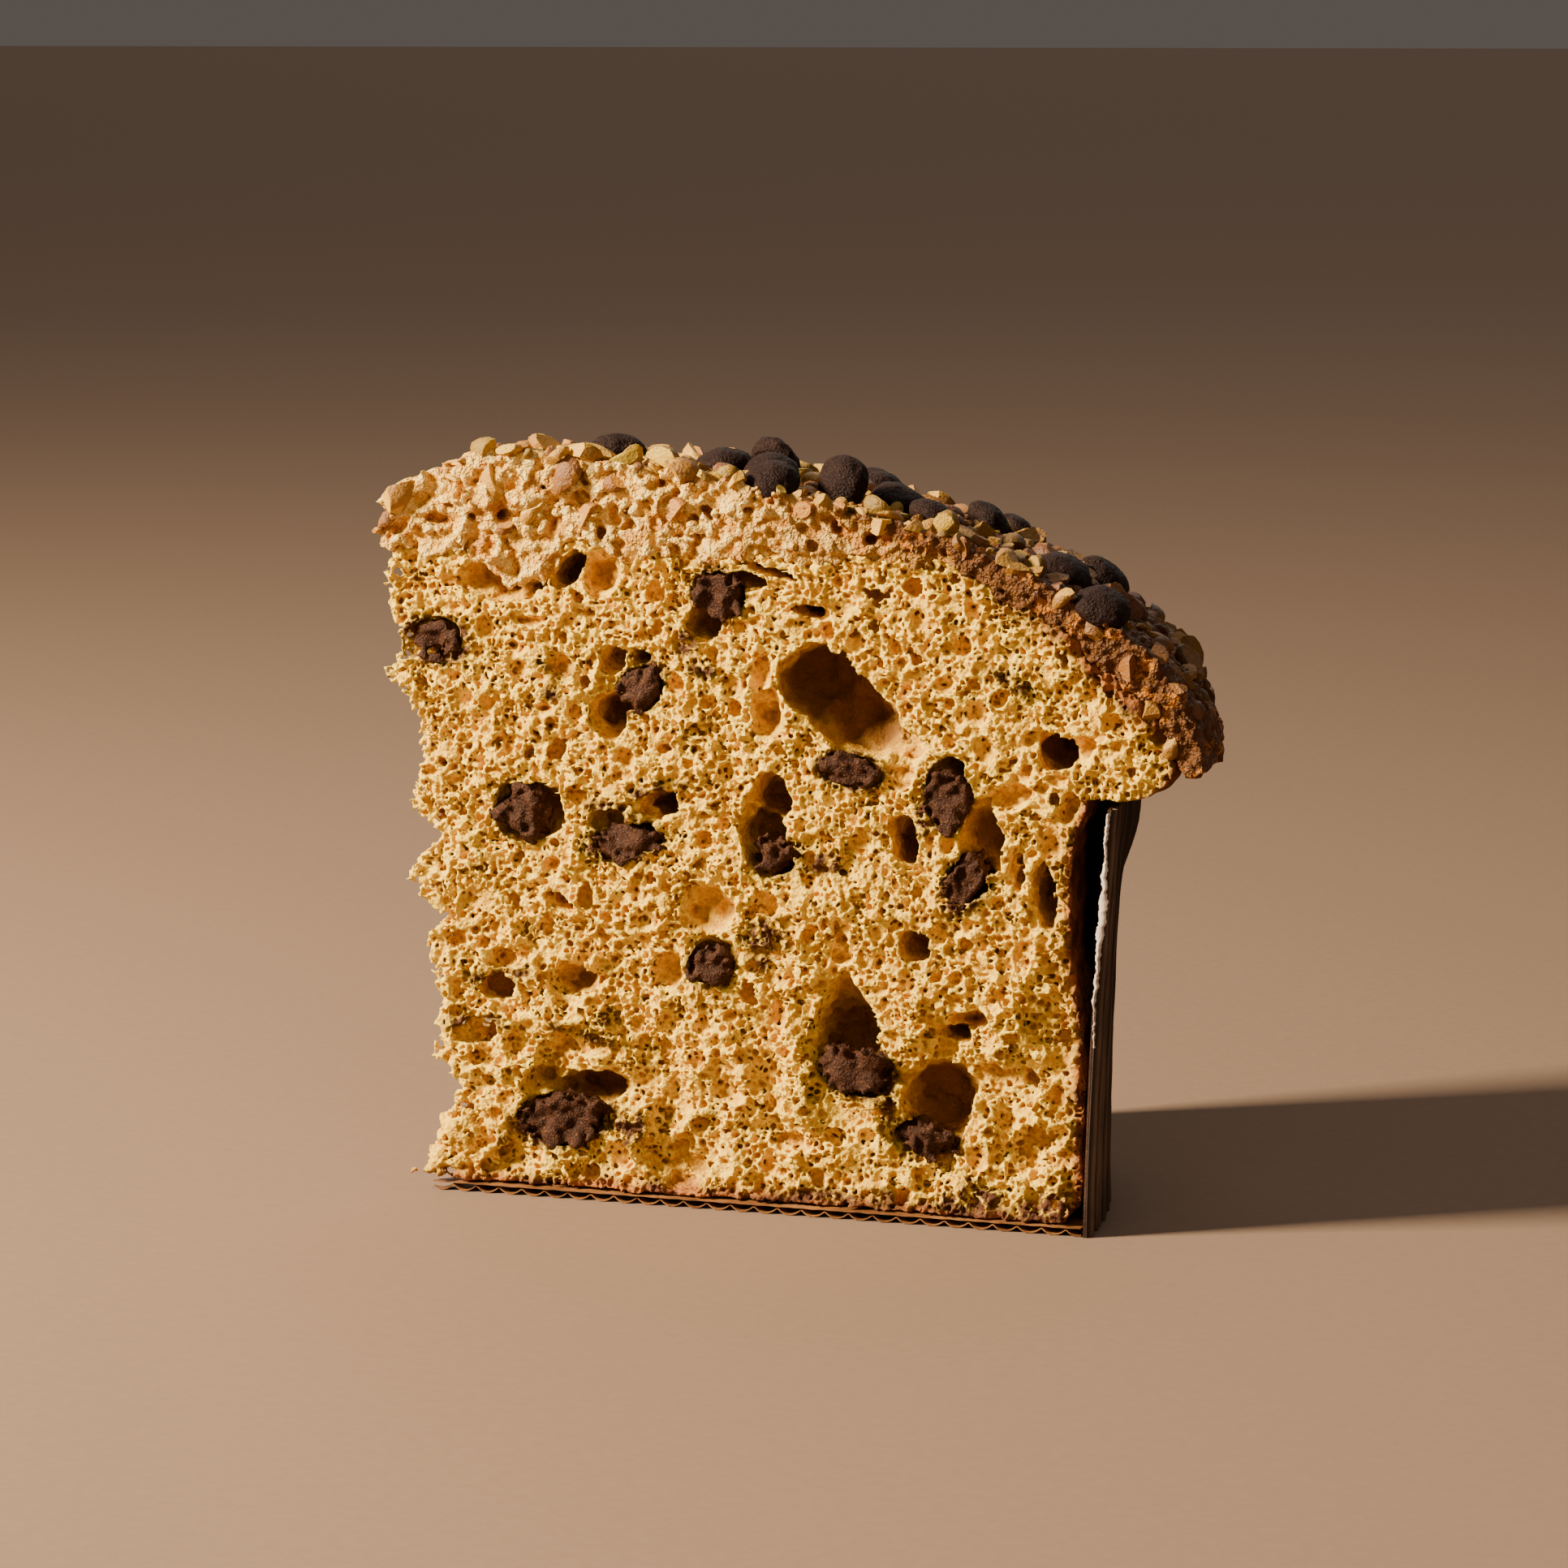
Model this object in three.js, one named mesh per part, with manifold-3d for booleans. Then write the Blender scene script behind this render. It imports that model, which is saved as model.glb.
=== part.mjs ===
// One slice of a low, domed panettone with a crunchy nut glaze, still in its fluted paper mould.
//
// Millimetres, +Z up. The slice is an eighth of the cake. It is modelled round the cake's own
// axis, with the near cut in the XZ plane, and the finished group is then moved so that the
// origin lies under the middle of its bounding box.

import * as THREE from "three";
import { mergeVertices } from "three/addons/utils/BufferGeometryUtils.js";
import Module from "manifold-3d";

// The cake
const MOULD_RADIUS = 103.9; // inside a low mould for a kilo, about 210 mm across
const WEDGE_DEG = 45; // an eighth of the cake
const APEX_LEAN = 10.5; // the knife leaned, so the point of the slice runs outwards by this much
const LEAN_HEIGHT = 106; // up to this height
const DOME_RADIUS = 120.5; // the risen dome overhangs the mould
const DOME_HEIGHT = 42.5;
const DOME_BASE_Z = 72; // where the dome is widest
const OVERHANG_Z = 65.6; // underside of the overhang, just above the paper rim
const CLEARANCE = 0.3; // between pieces that touch

// The glaze
const GLAZE_THICK_AT_AXIS = 15;
const GLAZE_THICK_AT_RIM = 3;
const GLAZE_THINS_BY = 80; // radius at which it is down to its rim thickness
const GLAZE_LUMPS = 0.7;
const DOME_STEPS = 12; // from the axis to the rim
const ROUND_STEPS = 72; // in a full turn

// The paper
const PAPER = 0.4;
const FLUTE_PITCH = 3.75;
const FLUTE_DEPTH = 1.2;
const BASE_THICK = FLUTE_DEPTH + PAPER;
const WALL_FLUTE_DEPTH = 0.9;
const WALL_HEIGHT = 64.6;
const WALL_FLARE = 3.1; // the overhang pushes the rim out
const RIM_CURL = 2.9; // and away from the near cut the rim curls further
const CURL_FROM_Z = 48;
const CURL_TO_Z = 61;

// Toppings
const DROP_RADIUS = 4.3;
const DROP_HEIGHT = 4.2;
const NUT_COUNT = 52;

const COLOURS = {
  crumb: { color: 0xe3b44e, roughness: 0.85 },
  glaze: { color: 0xc08a4e, roughness: 0.7 },
  chocolate: { color: 0x35211d, roughness: 0.45 },
  paper: { color: 0x4a3428, roughness: 0.8 },
};

const wasm = await Module();
wasm.setup();

// Numbers

/** A repeatable stream of numbers from 0 to 1. */
function seededStream(seed) {
  let state = seed >>> 0;
  return () => {
    state = (state + 0x6d2b79f5) >>> 0;
    let t = Math.imul(state ^ (state >>> 15), 1 | state);
    t = (t + Math.imul(t ^ (t >>> 7), 61 | t)) ^ t;
    return ((t ^ (t >>> 14)) >>> 0) / 4294967296;
  };
}

/** Smooth lumps from -1 to 1, about one lump to each size. */
function lumps(p, size, phase = 0) {
  const [x, y, z] = [p.x / size + phase, p.y / size, p.z / size - phase];
  const wave = Math.sin(2.1 * x + 1.3 * z) * Math.cos(1.9 * y - 0.7 * x);
  return 0.6 * wave + 0.4 * Math.sin(3.7 * y + 2.9 * z + x) * Math.cos(3.1 * x + 1.1);
}

const radians = THREE.MathUtils.degToRad;

// Solids

/** A closed three.js geometry as a manifold solid. */
function solid(geometry) {
  const bare = geometry.clone();
  bare.deleteAttribute("normal");
  bare.deleteAttribute("uv");
  const merged = mergeVertices(bare, 1e-4);
  return new wasm.Manifold(
    new wasm.Mesh({
      numProp: 3,
      vertProperties: merged.attributes.position.array,
      triVerts: new Uint32Array(merged.index.array),
    }),
  );
}

/** A manifold solid as a three.js geometry. */
function geometryOf(made) {
  const mesh = made.getMesh();
  const geometry = new THREE.BufferGeometry();
  geometry.setAttribute("position", new THREE.BufferAttribute(mesh.vertProperties, 3));
  geometry.setIndex(new THREE.BufferAttribute(mesh.triVerts, 1));
  const flat = geometry.toNonIndexed();
  flat.computeVertexNormals();
  return flat;
}

const joined = (solids) => solids.reduce((all, next) => all.add(next));

/** Everything on the inner side of a plane, as a very large block. */
function innerSide(point, outward) {
  const size = 500;
  const block = new THREE.BoxGeometry(size, size, size).translate(0, 0, -size / 2);
  const turn = new THREE.Quaternion().setFromUnitVectors(
    new THREE.Vector3(0, 0, 1),
    outward.clone().normalize(),
  );
  return solid(block.applyQuaternion(turn).translate(point.x, point.y, point.z));
}

/** A solid turned about the cake's axis, from (radius, height) points that start and end on it. */
function turned(points, reshape = () => {}) {
  const geometry = new THREE.LatheGeometry(points, ROUND_STEPS).rotateX(Math.PI / 2);
  const place = geometry.attributes.position;
  const p = new THREE.Vector3();
  for (let i = 0; i < place.count; i++) {
    reshape(p.fromBufferAttribute(place, i));
    place.setXYZ(i, p.x, p.y, p.z);
  }
  return solid(geometry);
}

/** An uneven lump about its own centre: width along X, depth along Y, height along Z. */
function lump(width, depth, height, { detail = 1, rough = 0.12, taper = 0, phase = 0 } = {}) {
  const ball = new THREE.IcosahedronGeometry(1, detail);
  const place = ball.attributes.position;
  const p = new THREE.Vector3();
  for (let i = 0; i < place.count; i++) {
    p.fromBufferAttribute(place, i);
    p.multiplyScalar(1 + rough * lumps(p, 0.9, phase));
    const narrow = 1 - taper * p.z;
    place.setXYZ(i, (p.x * narrow * width) / 2, (p.y * depth) / 2, (p.z * height) / 2);
  }
  return ball;
}

// The two cuts

const nearCut = innerSide(new THREE.Vector3(0, 0, 0), new THREE.Vector3(0, -1, 0));
const alongRearCut = new THREE.Vector3(
  Math.cos(radians(WEDGE_DEG)),
  Math.sin(radians(WEDGE_DEG)),
  0,
);
const upTheApex = new THREE.Vector3(-APEX_LEAN, 0, LEAN_HEIGHT).normalize();
const rearNormal = new THREE.Vector3().crossVectors(upTheApex, alongRearCut).normalize().negate();
if (rearNormal.y < 0) rearNormal.negate();
const rearCut = innerSide(new THREE.Vector3(0, 0, 0), rearNormal);
const wedge = nearCut.intersect(rearCut);

// The dome

/** Height of the glaze's outer surface at a radius. */
function domeHeight(radius) {
  const share = Math.min(1, Math.abs(radius) / DOME_RADIUS);
  return DOME_BASE_Z + DOME_HEIGHT * Math.sqrt(1 - share * share);
}

/** How thick the glaze is at a radius. */
function glazeThickness(radius) {
  const share = Math.min(1, radius / GLAZE_THINS_BY);
  return GLAZE_THICK_AT_RIM + (GLAZE_THICK_AT_AXIS - GLAZE_THICK_AT_RIM) * (1 - share * share);
}

/** The outward direction of the dome at a point above the base of the dome. */
function domeNormal(x, y, z) {
  const across = 1 / DOME_RADIUS ** 2;
  return new THREE.Vector3(x * across, y * across, (z - DOME_BASE_Z) / DOME_HEIGHT ** 2).normalize();
}

/** Points down the dome from the axis to its widest place, with inset taken off the surface. */
function domeCurve(steps, inset) {
  const points = [];
  for (let i = 0; i <= steps; i++) {
    const angle = (i / steps) * (Math.PI / 2);
    const radius = DOME_RADIUS * Math.sin(angle);
    const height = DOME_BASE_Z + DOME_HEIGHT * Math.cos(angle);
    const depth = inset(radius);
    points.push(
      new THREE.Vector2(
        Math.max(0, radius - depth * Math.sin(angle)),
        height - depth * Math.cos(angle),
      ),
    );
  }
  points[0].x = 0;
  return points;
}

// The crumb, with the browned crust that is part of it

const SMALL_LUMP = 9.2; // a lump no wider than this has few sides

/** Holes on the near cut: centre x and z, width, height, depth, tilt in degrees, taper to the top. */
const NEAR_HOLES = [
  { x: 14.5, z: 94.4, width: 19, height: 6.5, depth: 13, tilt: -9 },
  { x: 27.9, z: 94.6, width: 7.7, height: 6.7, depth: 9 },
  { x: 29.5, z: 75.5, width: 6.7, height: 6.8, depth: 12 },
  { x: 53.6, z: 77.2, width: 7, height: 13, depth: 9 },
  { x: 67.2, z: 78.6, width: 19.5, height: 16.5, depth: 26, tilt: -28 },
  { x: 55, z: 60.6, width: 8.9, height: 16, depth: 13, taper: 0.15 },
  { x: 75.3, z: 57.6, width: 5.8, height: 8.8, depth: 14 },
  { x: 88.2, z: 59, width: 8.1, height: 14.6, depth: 12, tilt: -12 },
  { x: 100.6, z: 71.9, width: 10, height: 5.6, depth: 12, tilt: 32 },
  { x: 97.1, z: 50.8, width: 4.6, height: 9.4, depth: 10, tilt: 6 },
  { x: 45.1, z: 45.3, width: 9.7, height: 9.3, depth: 9 },
  { x: 76.9, z: 42.1, width: 5.7, height: 5.5, depth: 8 },
  { x: 66.4, z: 42, width: 5.1, height: 8.7, depth: 7 },
  { x: 67.4, z: 29.2, width: 9.6, height: 18, depth: 13, taper: 0.5 },
  { x: 82.2, z: 17.7, width: 12, height: 12.4, depth: 14 },
  { x: 24, z: 13.8, width: 18.5, height: 9.4, depth: 13, tilt: -5 },
  { x: 15.9, z: 59.6, width: 10.5, height: 9.6, depth: 9 },
  { x: 34.6, z: 57.4, width: 8.5, height: 6, depth: 8 },
  { x: 10.2, z: 32.3, width: 6.6, height: 4.2, depth: 7, tilt: 14 },
  { x: 95.8, z: 19.9, width: 4.6, height: 5.4, depth: 7 },
];

/** Chocolate chunks on the near cut, with how far each lies back from the cut. */
const NEAR_CHUNKS = [
  { x: 2.6, z: 85.4, width: 9.4, height: 6.6, depth: 5.6, back: 0 },
  { x: 45.2, z: 92, width: 10.8, height: 9.6, depth: 8, back: 0.6 },
  { x: 34.6, z: 79.2, width: 7, height: 9.4, depth: 7, back: 0.4, tilt: -18 },
  { x: 15.7, z: 59.4, width: 8.1, height: 7.8, depth: 7, back: 2.2 },
  { x: 31.6, z: 55.2, width: 10, height: 5.4, depth: 7, back: 1.2, tilt: 14 },
  { x: 67, z: 67.6, width: 8.8, height: 5.2, depth: 7, back: 0.2 },
  { x: 54.9, z: 53.6, width: 7.4, height: 7.6, depth: 7, back: 3 },
  { x: 82.1, z: 65.6, width: 6.8, height: 10, depth: 8, back: 0.4, tilt: 8 },
  { x: 86.6, z: 51, width: 7, height: 8.8, depth: 8, back: 2.4, tilt: -16 },
  { x: 45.4, z: 38, width: 7, height: 7.2, depth: 6, back: 1.6 },
  { x: 68.4, z: 21.6, width: 10.6, height: 8.8, depth: 9, back: 2 },
  { x: 81, z: 12.6, width: 9.6, height: 5.8, depth: 9, back: 2.6 },
  { x: 22.6, z: 11.4, width: 14, height: 7.6, depth: 8, back: 1.6, tilt: 8 },
];

/** Chocolate chunks on the far cut, at a distance along it and a height. */
const REAR_CHUNKS = [
  { along: 24, z: 68, width: 8.6, height: 7.2, depth: 7 },
  { along: 47, z: 30, width: 9.4, height: 7.6, depth: 7 },
  { along: 63, z: 84, width: 8, height: 8.8, depth: 7 },
  { along: 78, z: 52, width: 9.8, height: 6.8, depth: 7 },
  { along: 93, z: 22, width: 7.8, height: 8.2, depth: 7 },
];

/** A lump set on a place of the near cut, grown on every side by grow. */
function onNearCut(spec, grow = 0, look = {}) {
  const { x, z, width, height, depth, tilt = 0, back = 0, taper = 0 } = spec;
  const phase = x * 0.37 + z * 0.11;
  const detail = Math.max(width, height) > SMALL_LUMP ? 1 : 0;
  return solid(
    lump(width + 2 * grow, depth + 2 * grow, height + 2 * grow, { taper, phase, detail, ...look })
      .rotateY(-radians(tilt))
      .translate(x, back, z),
  );
}

/** The same on the far cut, which a spec finds by its distance along the cut and its height. */
function onRearCut({ along, z, width, height, depth }, grow = 0, look = {}) {
  const place = alongRearCut
    .clone()
    .multiplyScalar(along)
    .add(new THREE.Vector3((-APEX_LEAN * z) / LEAN_HEIGHT, 0, z));
  const detail = Math.max(width, height) > SMALL_LUMP ? 1 : 0;
  return solid(
    lump(width + 2 * grow, depth + 2 * grow, height + 2 * grow, { phase: along, detail, ...look })
      .rotateZ(radians(WEDGE_DEG))
      .translate(place.x, place.y, place.z),
  );
}

/** Holes of the crumb on the far cut, spread evenly by rejection. */
function rearHoles() {
  const draw = seededStream(41);
  const holes = [];
  for (let tries = 0; tries < 400 && holes.length < 13; tries++) {
    const hole = {
      along: 12 + 84 * draw(),
      z: 12 + 76 * draw(),
      width: 5 + 7 * draw(),
      height: 6 + 8 * draw(),
      depth: 8 + 6 * draw(),
    };
    const near = (other) => Math.hypot(hole.along - other.along, hole.z - other.z) < 15;
    if (![...holes, ...REAR_CHUNKS].some(near)) holes.push(hole);
  }
  return holes;
}

/** The smaller pores of both cuts, as shallow pits between the named holes. */
function pores(count, seed, taken, place) {
  const draw = seededStream(seed);
  const pits = [];
  const spots = [];
  for (let tries = 0; tries < 4000 && pits.length < count; tries++) {
    const spot = { along: 3 + 98 * draw(), z: 5 + 88 * draw(), size: 2.6 + 2 * draw() };
    const clash = (other) => {
      const reach = Math.max(other.width ?? other.size, other.height ?? other.size) / 2;
      const sideways = spot.along - (other.along ?? other.x);
      return Math.hypot(sideways, spot.z - other.z) < reach + spot.size * 0.75;
    };
    if ([...taken, ...spots].some(clash)) continue;
    spots.push(spot);
    pits.push(place(spot));
  }
  return pits;
}

const nearPore = ({ along, z, size }) =>
  onNearCut({ x: along, z, width: size * 1.15, height: size, depth: size }, 0, { detail: 0 });
const rearPore = ({ along, z, size }) =>
  onRearCut({ along, z, width: size * 1.15, height: size, depth: size }, 0, { detail: 0 });

/** The loaf: straight sides, a browned overhang and a domed top under the glaze. */
function loaf() {
  const gap = (radius) => glazeThickness(radius) + CLEARANCE;
  const bottom = BASE_THICK + CLEARANCE;
  const side = MOULD_RADIUS - PAPER - 2 * CLEARANCE;
  const profile = [
    new THREE.Vector2(0, bottom),
    new THREE.Vector2(side - 2, bottom),
    new THREE.Vector2(side - 0.6, bottom + 1.6),
    new THREE.Vector2(side, 20),
    new THREE.Vector2(side - 0.8, 38),
    new THREE.Vector2(side + 0.3, 55),
    new THREE.Vector2(side + 0.8, OVERHANG_Z - 1),
  ];
  const underside = 4;
  const reach = DOME_RADIUS - GLAZE_THICK_AT_RIM - CLEARANCE - side - 4;
  for (let i = 0; i <= underside; i++) {
    const angle = (i / underside) * (Math.PI / 2);
    profile.push(
      new THREE.Vector2(
        side + 4 + reach * Math.sin(angle),
        DOME_BASE_Z - (DOME_BASE_Z - OVERHANG_Z) * Math.cos(angle),
      ),
    );
  }
  const top = domeCurve(DOME_STEPS, gap).reverse();
  profile.push(...top.slice(1));
  return turned(profile).intersect(wedge);
}

/** Ragged bites out of the thin edge of the slice. */
function apexBites() {
  const draw = seededStream(7);
  const bites = [];
  for (let z = 8; z < 88; z += 4.5 + 5 * draw()) {
    const lean = (-APEX_LEAN * z) / LEAN_HEIGHT;
    const size = 3 + 4 * draw();
    bites.push(
      solid(
        lump(size, 12, size * 0.8, { detail: 0, rough: 0.25, phase: z }).translate(
          lean - 1.2 + 1.6 * draw(),
          0,
          z,
        ),
      ),
    );
  }
  return bites;
}

/** The flake of bottom crust that sticks out past the point of the slice. */
const crustTip = () =>
  solid(lump(12, 4, 2.6, { detail: 1, rough: 0.18 }).translate(0.6, 2.4, BASE_THICK + 2.2));

function crumbSolid() {
  const rear = rearHoles();
  const nearTaken = [...NEAR_HOLES, ...NEAR_CHUNKS];
  const cavities = joined([
    ...NEAR_HOLES.map((hole) => onNearCut(hole)),
    ...rear.map((hole) => onRearCut(hole)),
    ...NEAR_CHUNKS.map((chunk) => onNearCut(chunk, CLEARANCE)),
    ...REAR_CHUNKS.map((chunk) => onRearCut(chunk, CLEARANCE)),
    ...pores(48, 11, nearTaken, nearPore),
    ...pores(22, 23, [...rear, ...REAR_CHUNKS], rearPore),
    ...apexBites(),
  ]);
  return largest(loaf().add(crustTip()).subtract(cavities));
}

/** The biggest body of a solid, without the loose scraps that cutting leaves. */
function largest(made) {
  return made.decompose().reduce((best, next) => (next.volume() > best.volume() ? next : best));
}

// Chocolate drops on the glaze

/** Drops by their place over the base. stand tips a drop up on its edge, towards turn. */
const DROPS = [
  { x: 43, y: 15, stand: 12, turn: 200 },
  { x: 51, y: 13, stand: 38, turn: 250 },
  { x: 54, y: 4.6, stand: 30, turn: 265 },
  { x: 63, y: 9.6, stand: 78, turn: 250, lift: 2.6 },
  { x: 70, y: 17, stand: 25, turn: 300 },
  { x: 77, y: 12, stand: 14, turn: 20 },
  { x: 97, y: 11, stand: 18, turn: 290 },
  { x: 104.6, y: 3.6, stand: 20, turn: 250 },
  { x: 27, y: 13, stand: 16, turn: 90 },
  { x: 46, y: 31, stand: 60, turn: 80, lift: 1.6 },
  { x: 62, y: 34, stand: 10, turn: 140 },
  { x: 58, y: 47, stand: 24, turn: 100 },
  { x: 80, y: 33, stand: 30, turn: 35 },
  { x: 78, y: 56, stand: 20, turn: 60 },
  { x: 98, y: 32, stand: 12, turn: 330 },
];

/** One drop: a flat-footed button with a rounded back, grown on every side by grow. */
function dropSolid({ x, y, stand, turn, lift = 1.1 }, grow = 0) {
  const radius = DROP_RADIUS + grow;
  const half = DROP_HEIGHT / 2 + grow;
  const profile = [
    new THREE.Vector2(0, -half),
    new THREE.Vector2(radius * 0.9, -half),
    new THREE.Vector2(radius, -half * 0.4),
    new THREE.Vector2(radius * 0.74, half * 0.55),
    new THREE.Vector2(0, half),
  ];
  const z = domeHeight(Math.hypot(x, y));
  const normal = domeNormal(x, y, z);
  const lean = new THREE.Vector3(Math.cos(radians(turn)), Math.sin(radians(turn)), 0);
  const hinge = new THREE.Vector3().crossVectors(normal, lean).normalize();
  const upright = new THREE.Quaternion().setFromUnitVectors(new THREE.Vector3(0, 0, 1), normal);
  const tip = new THREE.Quaternion().setFromAxisAngle(hinge, radians(stand));
  const centre = new THREE.Vector3(x, y, z).addScaledVector(normal, lift);
  return solid(
    new THREE.LatheGeometry(profile, 10)
      .rotateX(Math.PI / 2)
      .applyQuaternion(tip.multiply(upright))
      .translate(centre.x, centre.y, centre.z),
  );
}

// The glaze, with its chopped nuts

/** A chopped nut: an angular piece with six uneven sides. */
function nutSolid(size, spin, centre) {
  const block = new THREE.BoxGeometry(size, size * 0.72, size * 0.62);
  const place = block.attributes.position;
  const p = new THREE.Vector3();
  for (let i = 0; i < place.count; i++) {
    p.fromBufferAttribute(place, i);
    p.multiplyScalar(1 + 0.3 * lumps(p, size * 0.4, spin));
    place.setXYZ(i, p.x, p.y, p.z);
  }
  return solid(block.rotateX(spin).rotateZ(spin * 1.7).translate(centre.x, centre.y, centre.z));
}

/** Chopped nuts over the dome, spread evenly and clear of the drops. */
function nuts() {
  const draw = seededStream(97);
  const made = [];
  const spots = DROPS.map(({ x, y }) => ({ x, y, reach: DROP_RADIUS + 2.6 }));
  for (let tries = 0; tries < 6000 && made.length < NUT_COUNT; tries++) {
    const radius = DOME_RADIUS * Math.sqrt(0.002 + 0.985 * draw());
    const angle = radians(2 + (WEDGE_DEG - 4) * draw());
    const [x, y] = [radius * Math.cos(angle), radius * Math.sin(angle)];
    const size = 6.8 - 3.2 * (made.length / NUT_COUNT) - 0.6 * draw();
    const clash = (other) => Math.hypot(x - other.x, y - other.y) < other.reach + size / 2;
    if (spots.some(clash)) continue;
    spots.push({ x, y, reach: size * 0.55 });
    const z = domeHeight(radius);
    const centre = new THREE.Vector3(x, y, z).addScaledVector(domeNormal(x, y, z), size * 0.12);
    made.push(nutSolid(size, draw() * 2 * Math.PI, centre));
  }
  return made;
}

function glazeSolid() {
  const outer = domeCurve(DOME_STEPS, () => 0).reverse();
  const dome = turned([new THREE.Vector2(0, DOME_BASE_Z), ...outer], (p) => {
    if (p.z > DOME_BASE_Z + 0.1) p.z += GLAZE_LUMPS * lumps(p, 6);
  });
  const inner = domeCurve(DOME_STEPS, glazeThickness).reverse();
  const under = [new THREE.Vector2(0, OVERHANG_Z), new THREE.Vector2(inner[0].x, OVERHANG_Z)];
  const hollow = turned([...under, ...inner]);
  const chippedPoint = innerSide(
    new THREE.Vector3(9, 0, DOME_BASE_Z + DOME_HEIGHT),
    new THREE.Vector3(-0.42, 0, 1),
  );
  const slice = dome.intersect(wedge).intersect(chippedPoint);
  const sockets = joined(DROPS.map((drop) => dropSolid(drop, CLEARANCE)));
  return largest(joined([slice, ...nuts()]).subtract(hollow).subtract(sockets));
}

// The paper mould

/** A closed sheet between two faces, each given by (u, v) from 0 to 1. */
function sheet(across, up, front, back) {
  const vertices = [];
  const faces = [];
  for (const face of [front, back])
    for (let j = 0; j <= up; j++)
      for (let i = 0; i <= across; i++) vertices.push(...face(i / across, j / up).toArray());
  const size = (across + 1) * (up + 1);
  const at = (side, i, j) => side * size + j * (across + 1) + i;
  const quad = (a, b, c, d) => faces.push(a, b, c, a, c, d);
  for (let j = 0; j < up; j++)
    for (let i = 0; i < across; i++) {
      quad(at(0, i, j), at(0, i + 1, j), at(0, i + 1, j + 1), at(0, i, j + 1));
      quad(at(1, i, j), at(1, i, j + 1), at(1, i + 1, j + 1), at(1, i + 1, j));
    }
  for (let i = 0; i < across; i++) {
    quad(at(0, i, 0), at(1, i, 0), at(1, i + 1, 0), at(0, i + 1, 0));
    quad(at(0, i + 1, up), at(1, i + 1, up), at(1, i, up), at(0, i, up));
  }
  for (let j = 0; j < up; j++) {
    quad(at(0, 0, j + 1), at(1, 0, j + 1), at(1, 0, j), at(0, 0, j));
    quad(at(0, across, j), at(1, across, j), at(1, across, j + 1), at(0, across, j + 1));
  }
  const geometry = new THREE.BufferGeometry();
  geometry.setAttribute("position", new THREE.Float32BufferAttribute(vertices, 3));
  geometry.setIndex(faces);
  return geometry;
}

/** How far the wall stands out of the upright at an angle from the near cut and a height. */
function flare(angle, z) {
  const curled = THREE.MathUtils.smoothstep(angle, radians(6), radians(14));
  const raised = THREE.MathUtils.smoothstep(z, CURL_FROM_Z, CURL_TO_Z);
  return WALL_FLARE * (z / WALL_HEIGHT) ** 1.6 + RIM_CURL * curled * raised;
}

/** The upright wall: a smooth inner ply and upright flutes outside, flared at the rim. */
function wallGeometry() {
  const flutes = Math.round((MOULD_RADIUS * radians(WEDGE_DEG)) / FLUTE_PITCH);
  const stepsPerFlute = 3;
  const across = flutes * stepsPerFlute;
  const rows = [0, CURL_FROM_Z - 4, (CURL_FROM_Z + CURL_TO_Z) / 2, WALL_HEIGHT];
  const up = rows.length - 1;
  const at = (u, v, radius) => {
    const z = rows[Math.round(v * up)];
    const angle = radians(WEDGE_DEG) * u;
    const r = radius + flare(angle, z);
    const lean = (-APEX_LEAN * z * u) / LEAN_HEIGHT;
    return new THREE.Vector3(r * Math.cos(angle) + lean, r * Math.sin(angle), z);
  };
  const ridge = (u) => (Math.round(u * across) % stepsPerFlute === 0 ? 0 : WALL_FLUTE_DEPTH);
  const outside = (u, v) => at(u, v, MOULD_RADIUS + PAPER + ridge(u));
  return sheet(across, up, outside, (u, v) => at(u, v, MOULD_RADIUS));
}

/** The base: a flat ply over hollow flutes that stand on the table. */
function baseSolid() {
  const count = Math.ceil(MOULD_RADIUS / FLUTE_PITCH);
  const foot = FLUTE_PITCH * 0.24;
  const section = new THREE.Shape();
  section.moveTo(-2, BASE_THICK);
  section.lineTo(-2, FLUTE_DEPTH);
  for (let i = 0; i < count; i++) {
    const middle = (i + 0.5) * FLUTE_PITCH;
    section.lineTo(middle - FLUTE_PITCH * 0.42, FLUTE_DEPTH);
    section.lineTo(middle - foot, 0);
    section.lineTo(middle + foot, 0);
    section.lineTo(middle + FLUTE_PITCH * 0.42, FLUTE_DEPTH);
    const hollow = new THREE.Path();
    hollow.moveTo(middle - foot * 0.8, PAPER);
    hollow.lineTo(middle - foot * 1.3, FLUTE_DEPTH - 0.05);
    hollow.lineTo(middle + foot * 1.3, FLUTE_DEPTH - 0.05);
    hollow.lineTo(middle + foot * 0.8, PAPER);
    section.holes.push(hollow);
  }
  section.lineTo(count * FLUTE_PITCH, FLUTE_DEPTH);
  section.lineTo(count * FLUTE_PITCH, BASE_THICK);
  const strip = new THREE.ExtrudeGeometry(section, { depth: MOULD_RADIUS, bevelEnabled: false })
    .rotateX(Math.PI / 2)
    .translate(0, MOULD_RADIUS, 0);
  const disc = new THREE.CylinderGeometry(
    MOULD_RADIUS - CLEARANCE,
    MOULD_RADIUS - CLEARANCE,
    BASE_THICK * 4,
    ROUND_STEPS,
  ).rotateX(Math.PI / 2);
  return largest(solid(strip).intersect(solid(disc)).intersect(wedge));
}

// The finished slice

/** A named mesh with its own material. */
function piece(name, geometry, look) {
  const mesh = new THREE.Mesh(
    geometry,
    new THREE.MeshStandardMaterial({ ...COLOURS[look], metalness: 0 }),
  );
  mesh.name = name;
  return mesh;
}

const number = (i) => String(i + 1).padStart(2, "0");

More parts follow.
